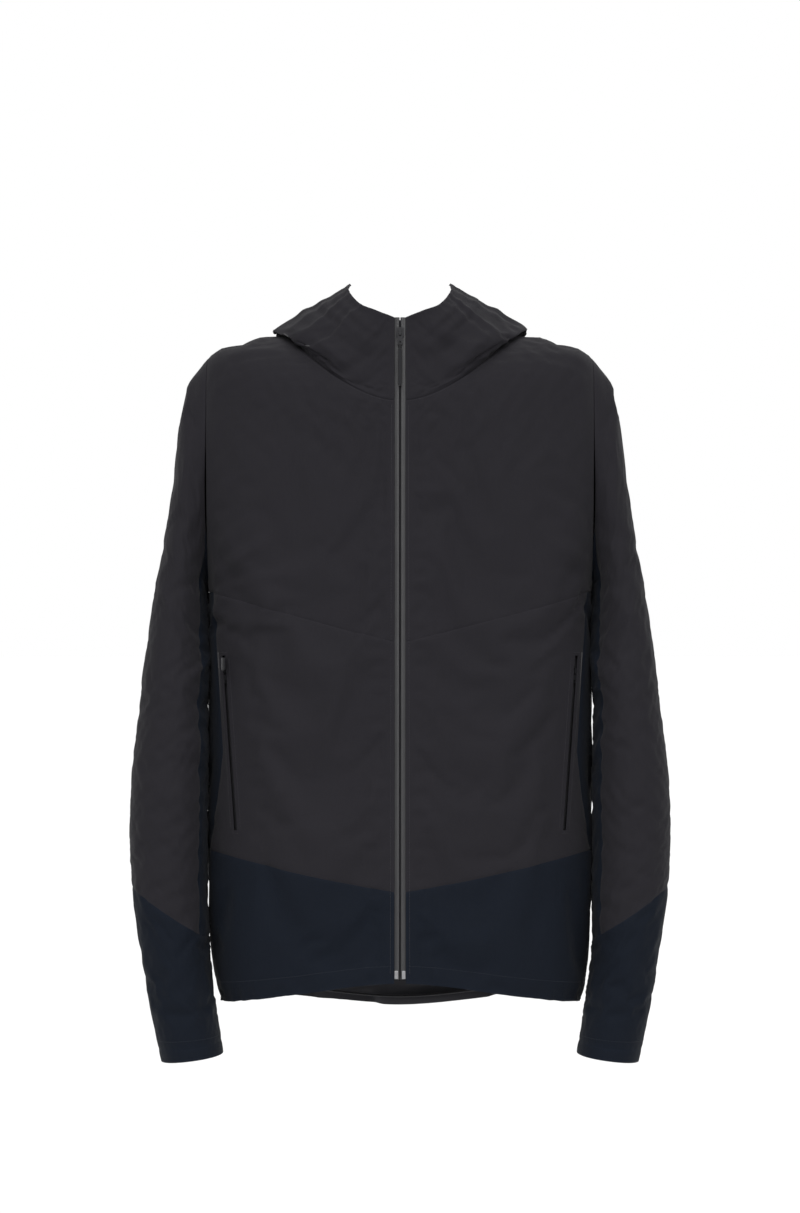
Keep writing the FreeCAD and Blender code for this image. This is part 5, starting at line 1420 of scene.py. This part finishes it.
# ---- CAD parts that stay: zips' metal and moulded pieces, cord locks
KEPT_FINISH = [
    ("zip_slider", DARK_METAL), ("zip_pull", DARK_METAL), ("zip_pull_cord", CORD),
    ("zip_top_stops", DARK_METAL), ("zip_retainer_box", GREY_METAL),
    ("zip_insertion_pin", GREY_METAL), ("zip_coil_left", COIL),
    ("zip_coil_right", COIL), ("pocket_slider_left", DARK_METAL), ("pocket_slider_right", DARK_METAL),
    ("pocket_pull_left", DARK_METAL), ("pocket_pull_right", DARK_METAL), ("hem_cord_lock_left", PLASTIC),
    ("hem_cord_lock_right", PLASTIC), ("hem_lock_button_left", PLASTIC), ("hem_lock_button_right", PLASTIC),
    ("hood_cord_lock", PLASTIC), ("hood_lock_button", PLASTIC),
]


def finish_kept_parts():
    """Give the CAD parts that stay visible their materials and rounded-looking edges."""
    for node, material in KEPT_FINISH:
        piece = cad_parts[node]
        piece.data.materials.clear()
        piece.data.materials.append(material)
        bevel = piece.modifiers.new("edges", "BEVEL")
        bevel.width = 0.12 * MM
        bevel.segments = 2
        bevel.limit_method = "ANGLE"
        bevel.angle_limit = math.radians(40)
        bevel.use_clamp_overlap = True


# ---- Floor, light and camera
FLOOR_LEVEL = -0.50
CAMERA_DISTANCE, CAMERA_HEIGHT = 3.5, 0.476
FRAME_HEIGHT_AT_JACKET = 1.286
IMAGE_WIDTH, IMAGE_HEIGHT = 800, 1213
SENSOR = 36.0
SKY_SEEN, SKY_LIGHT = 1.0, 0.20
# Soft lights: name, azimuth (0 shines along +Y), elevation, strength
SUNS = [("key", -22, 48, 2.4), ("fill", 30, 38, 1.5), ("rear", 170, 50, 0.8)]
SUN_SOFTNESS = 55


def make_world():
    """White surroundings for the camera, and a dimmer even light for the jacket."""
    world = bpy.data.worlds.new("studio")
    bpy.context.scene.world = world
    world.use_nodes = True
    nodes, links = world.node_tree.nodes, world.node_tree.links
    path = nodes.new("ShaderNodeLightPath")
    strength = nodes.new("ShaderNodeMapRange")
    strength.inputs["To Min"].default_value = SKY_LIGHT
    strength.inputs["To Max"].default_value = SKY_SEEN
    links.new(path.outputs["Is Camera Ray"], strength.inputs["Value"])
    nodes["Background"].inputs["Color"].default_value = (1, 1, 1, 1)
    links.new(strength.outputs[0], nodes["Background"].inputs["Strength"])
    bpy.context.scene.view_settings.view_transform = "Standard"


def make_stage():
    """Large pale floor, pale surroundings and soft studio lights."""
    bpy.ops.mesh.primitive_circle_add(vertices=96, radius=60, fill_type="NGON", location=(0, 0, FLOOR_LEVEL))
    floor = bpy.context.object
    floor.name = "floor"
    material, nodes, links, shader = new_material("floor", (0.86, 0.86, 0.86), 0.9)
    coordinates = nodes.new("ShaderNodeTexCoord")
    speckle = stretched_noise(nodes, links, coordinates.outputs["Object"], (6, 6, 6), 3)
    links.new(tinted(nodes, links, (0.86, 0.86, 0.86), speckle, 0.985, 1.015), shader.inputs["Base Color"])
    floor.data.materials.append(material)
    make_world()
    for name, azimuth, elevation, strength in SUNS:
        data = bpy.data.lights.new(name, "SUN")
        data.energy = strength
        data.angle = math.radians(SUN_SOFTNESS)
        light = bpy.data.objects.new(name, data)
        bpy.context.collection.objects.link(light)
        light.rotation_euler = (math.radians(90 - elevation), 0, math.radians(azimuth))


def make_camera():
    """Camera level with the middle of the jacket, straight in front of it."""
    data = bpy.data.cameras.new("camera")
    data.sensor_fit = "VERTICAL"
    data.sensor_height = SENSOR
    data.sensor_width = SENSOR * IMAGE_WIDTH / IMAGE_HEIGHT
    data.lens = SENSOR / 2 / (FRAME_HEIGHT_AT_JACKET / 2 / CAMERA_DISTANCE)
    camera = bpy.data.objects.new("camera", data)
    bpy.context.collection.objects.link(camera)
    camera.location = (0, -CAMERA_DISTANCE, CAMERA_HEIGHT)
    camera.rotation_euler = (math.radians(90), 0, 0)
    bpy.context.scene.camera = camera


# ---- The jacket
def stitch_cuff(side_name, final, normals):
    """Stitching round the cuff."""
    travel = np.cumsum(np.linalg.norm(np.diff(final[:, 0], axis=0), axis=1))
    row = int(np.argmin(np.abs(travel - (travel[-1] - CUFF_WIDTH))))
    make_stitches(f"cuff_stitching_{side_name}", [(final[row], normals[row])], f"forearm_part_{side_name}",
                  NAVY_THREAD)


def build_jacket():
    """Every piece of the jacket."""
    rest = torso_grid()
    final = torso_finish(rest)
    tree = make_torso(rest, final)
    make_torso_stitching(tree, final)
    make_hem_cord(rest)
    make_hem_facing(final)
    make_neck_tape(final)
    make_hanger_loop()
    make_storm_flap()
    for side_name, side, seed in (("left", 1, 7), ("right", -1, 17)):
        sleeve, positions = sleeve_grid(rest)
        draped = sleeve_finish(sleeve, positions, seed)
        shape, normals = make_sleeve(side_name, side, sleeve, draped, positions)
        stitch_cuff(side_name, shape, normals)
        make_zip_film(side_name, side)
        make_pocket_bag(tree, side_name)
        make_pocket_tape(side_name, side)
    hood, columns, last = hood_grid()
    hood = hood_finish(hood, columns, last)
    hood, normals = make_hood(hood, columns, last)
    make_hood_cord(hood, normals)
    finish_kept_parts()


build_jacket()
make_stage()
make_camera()
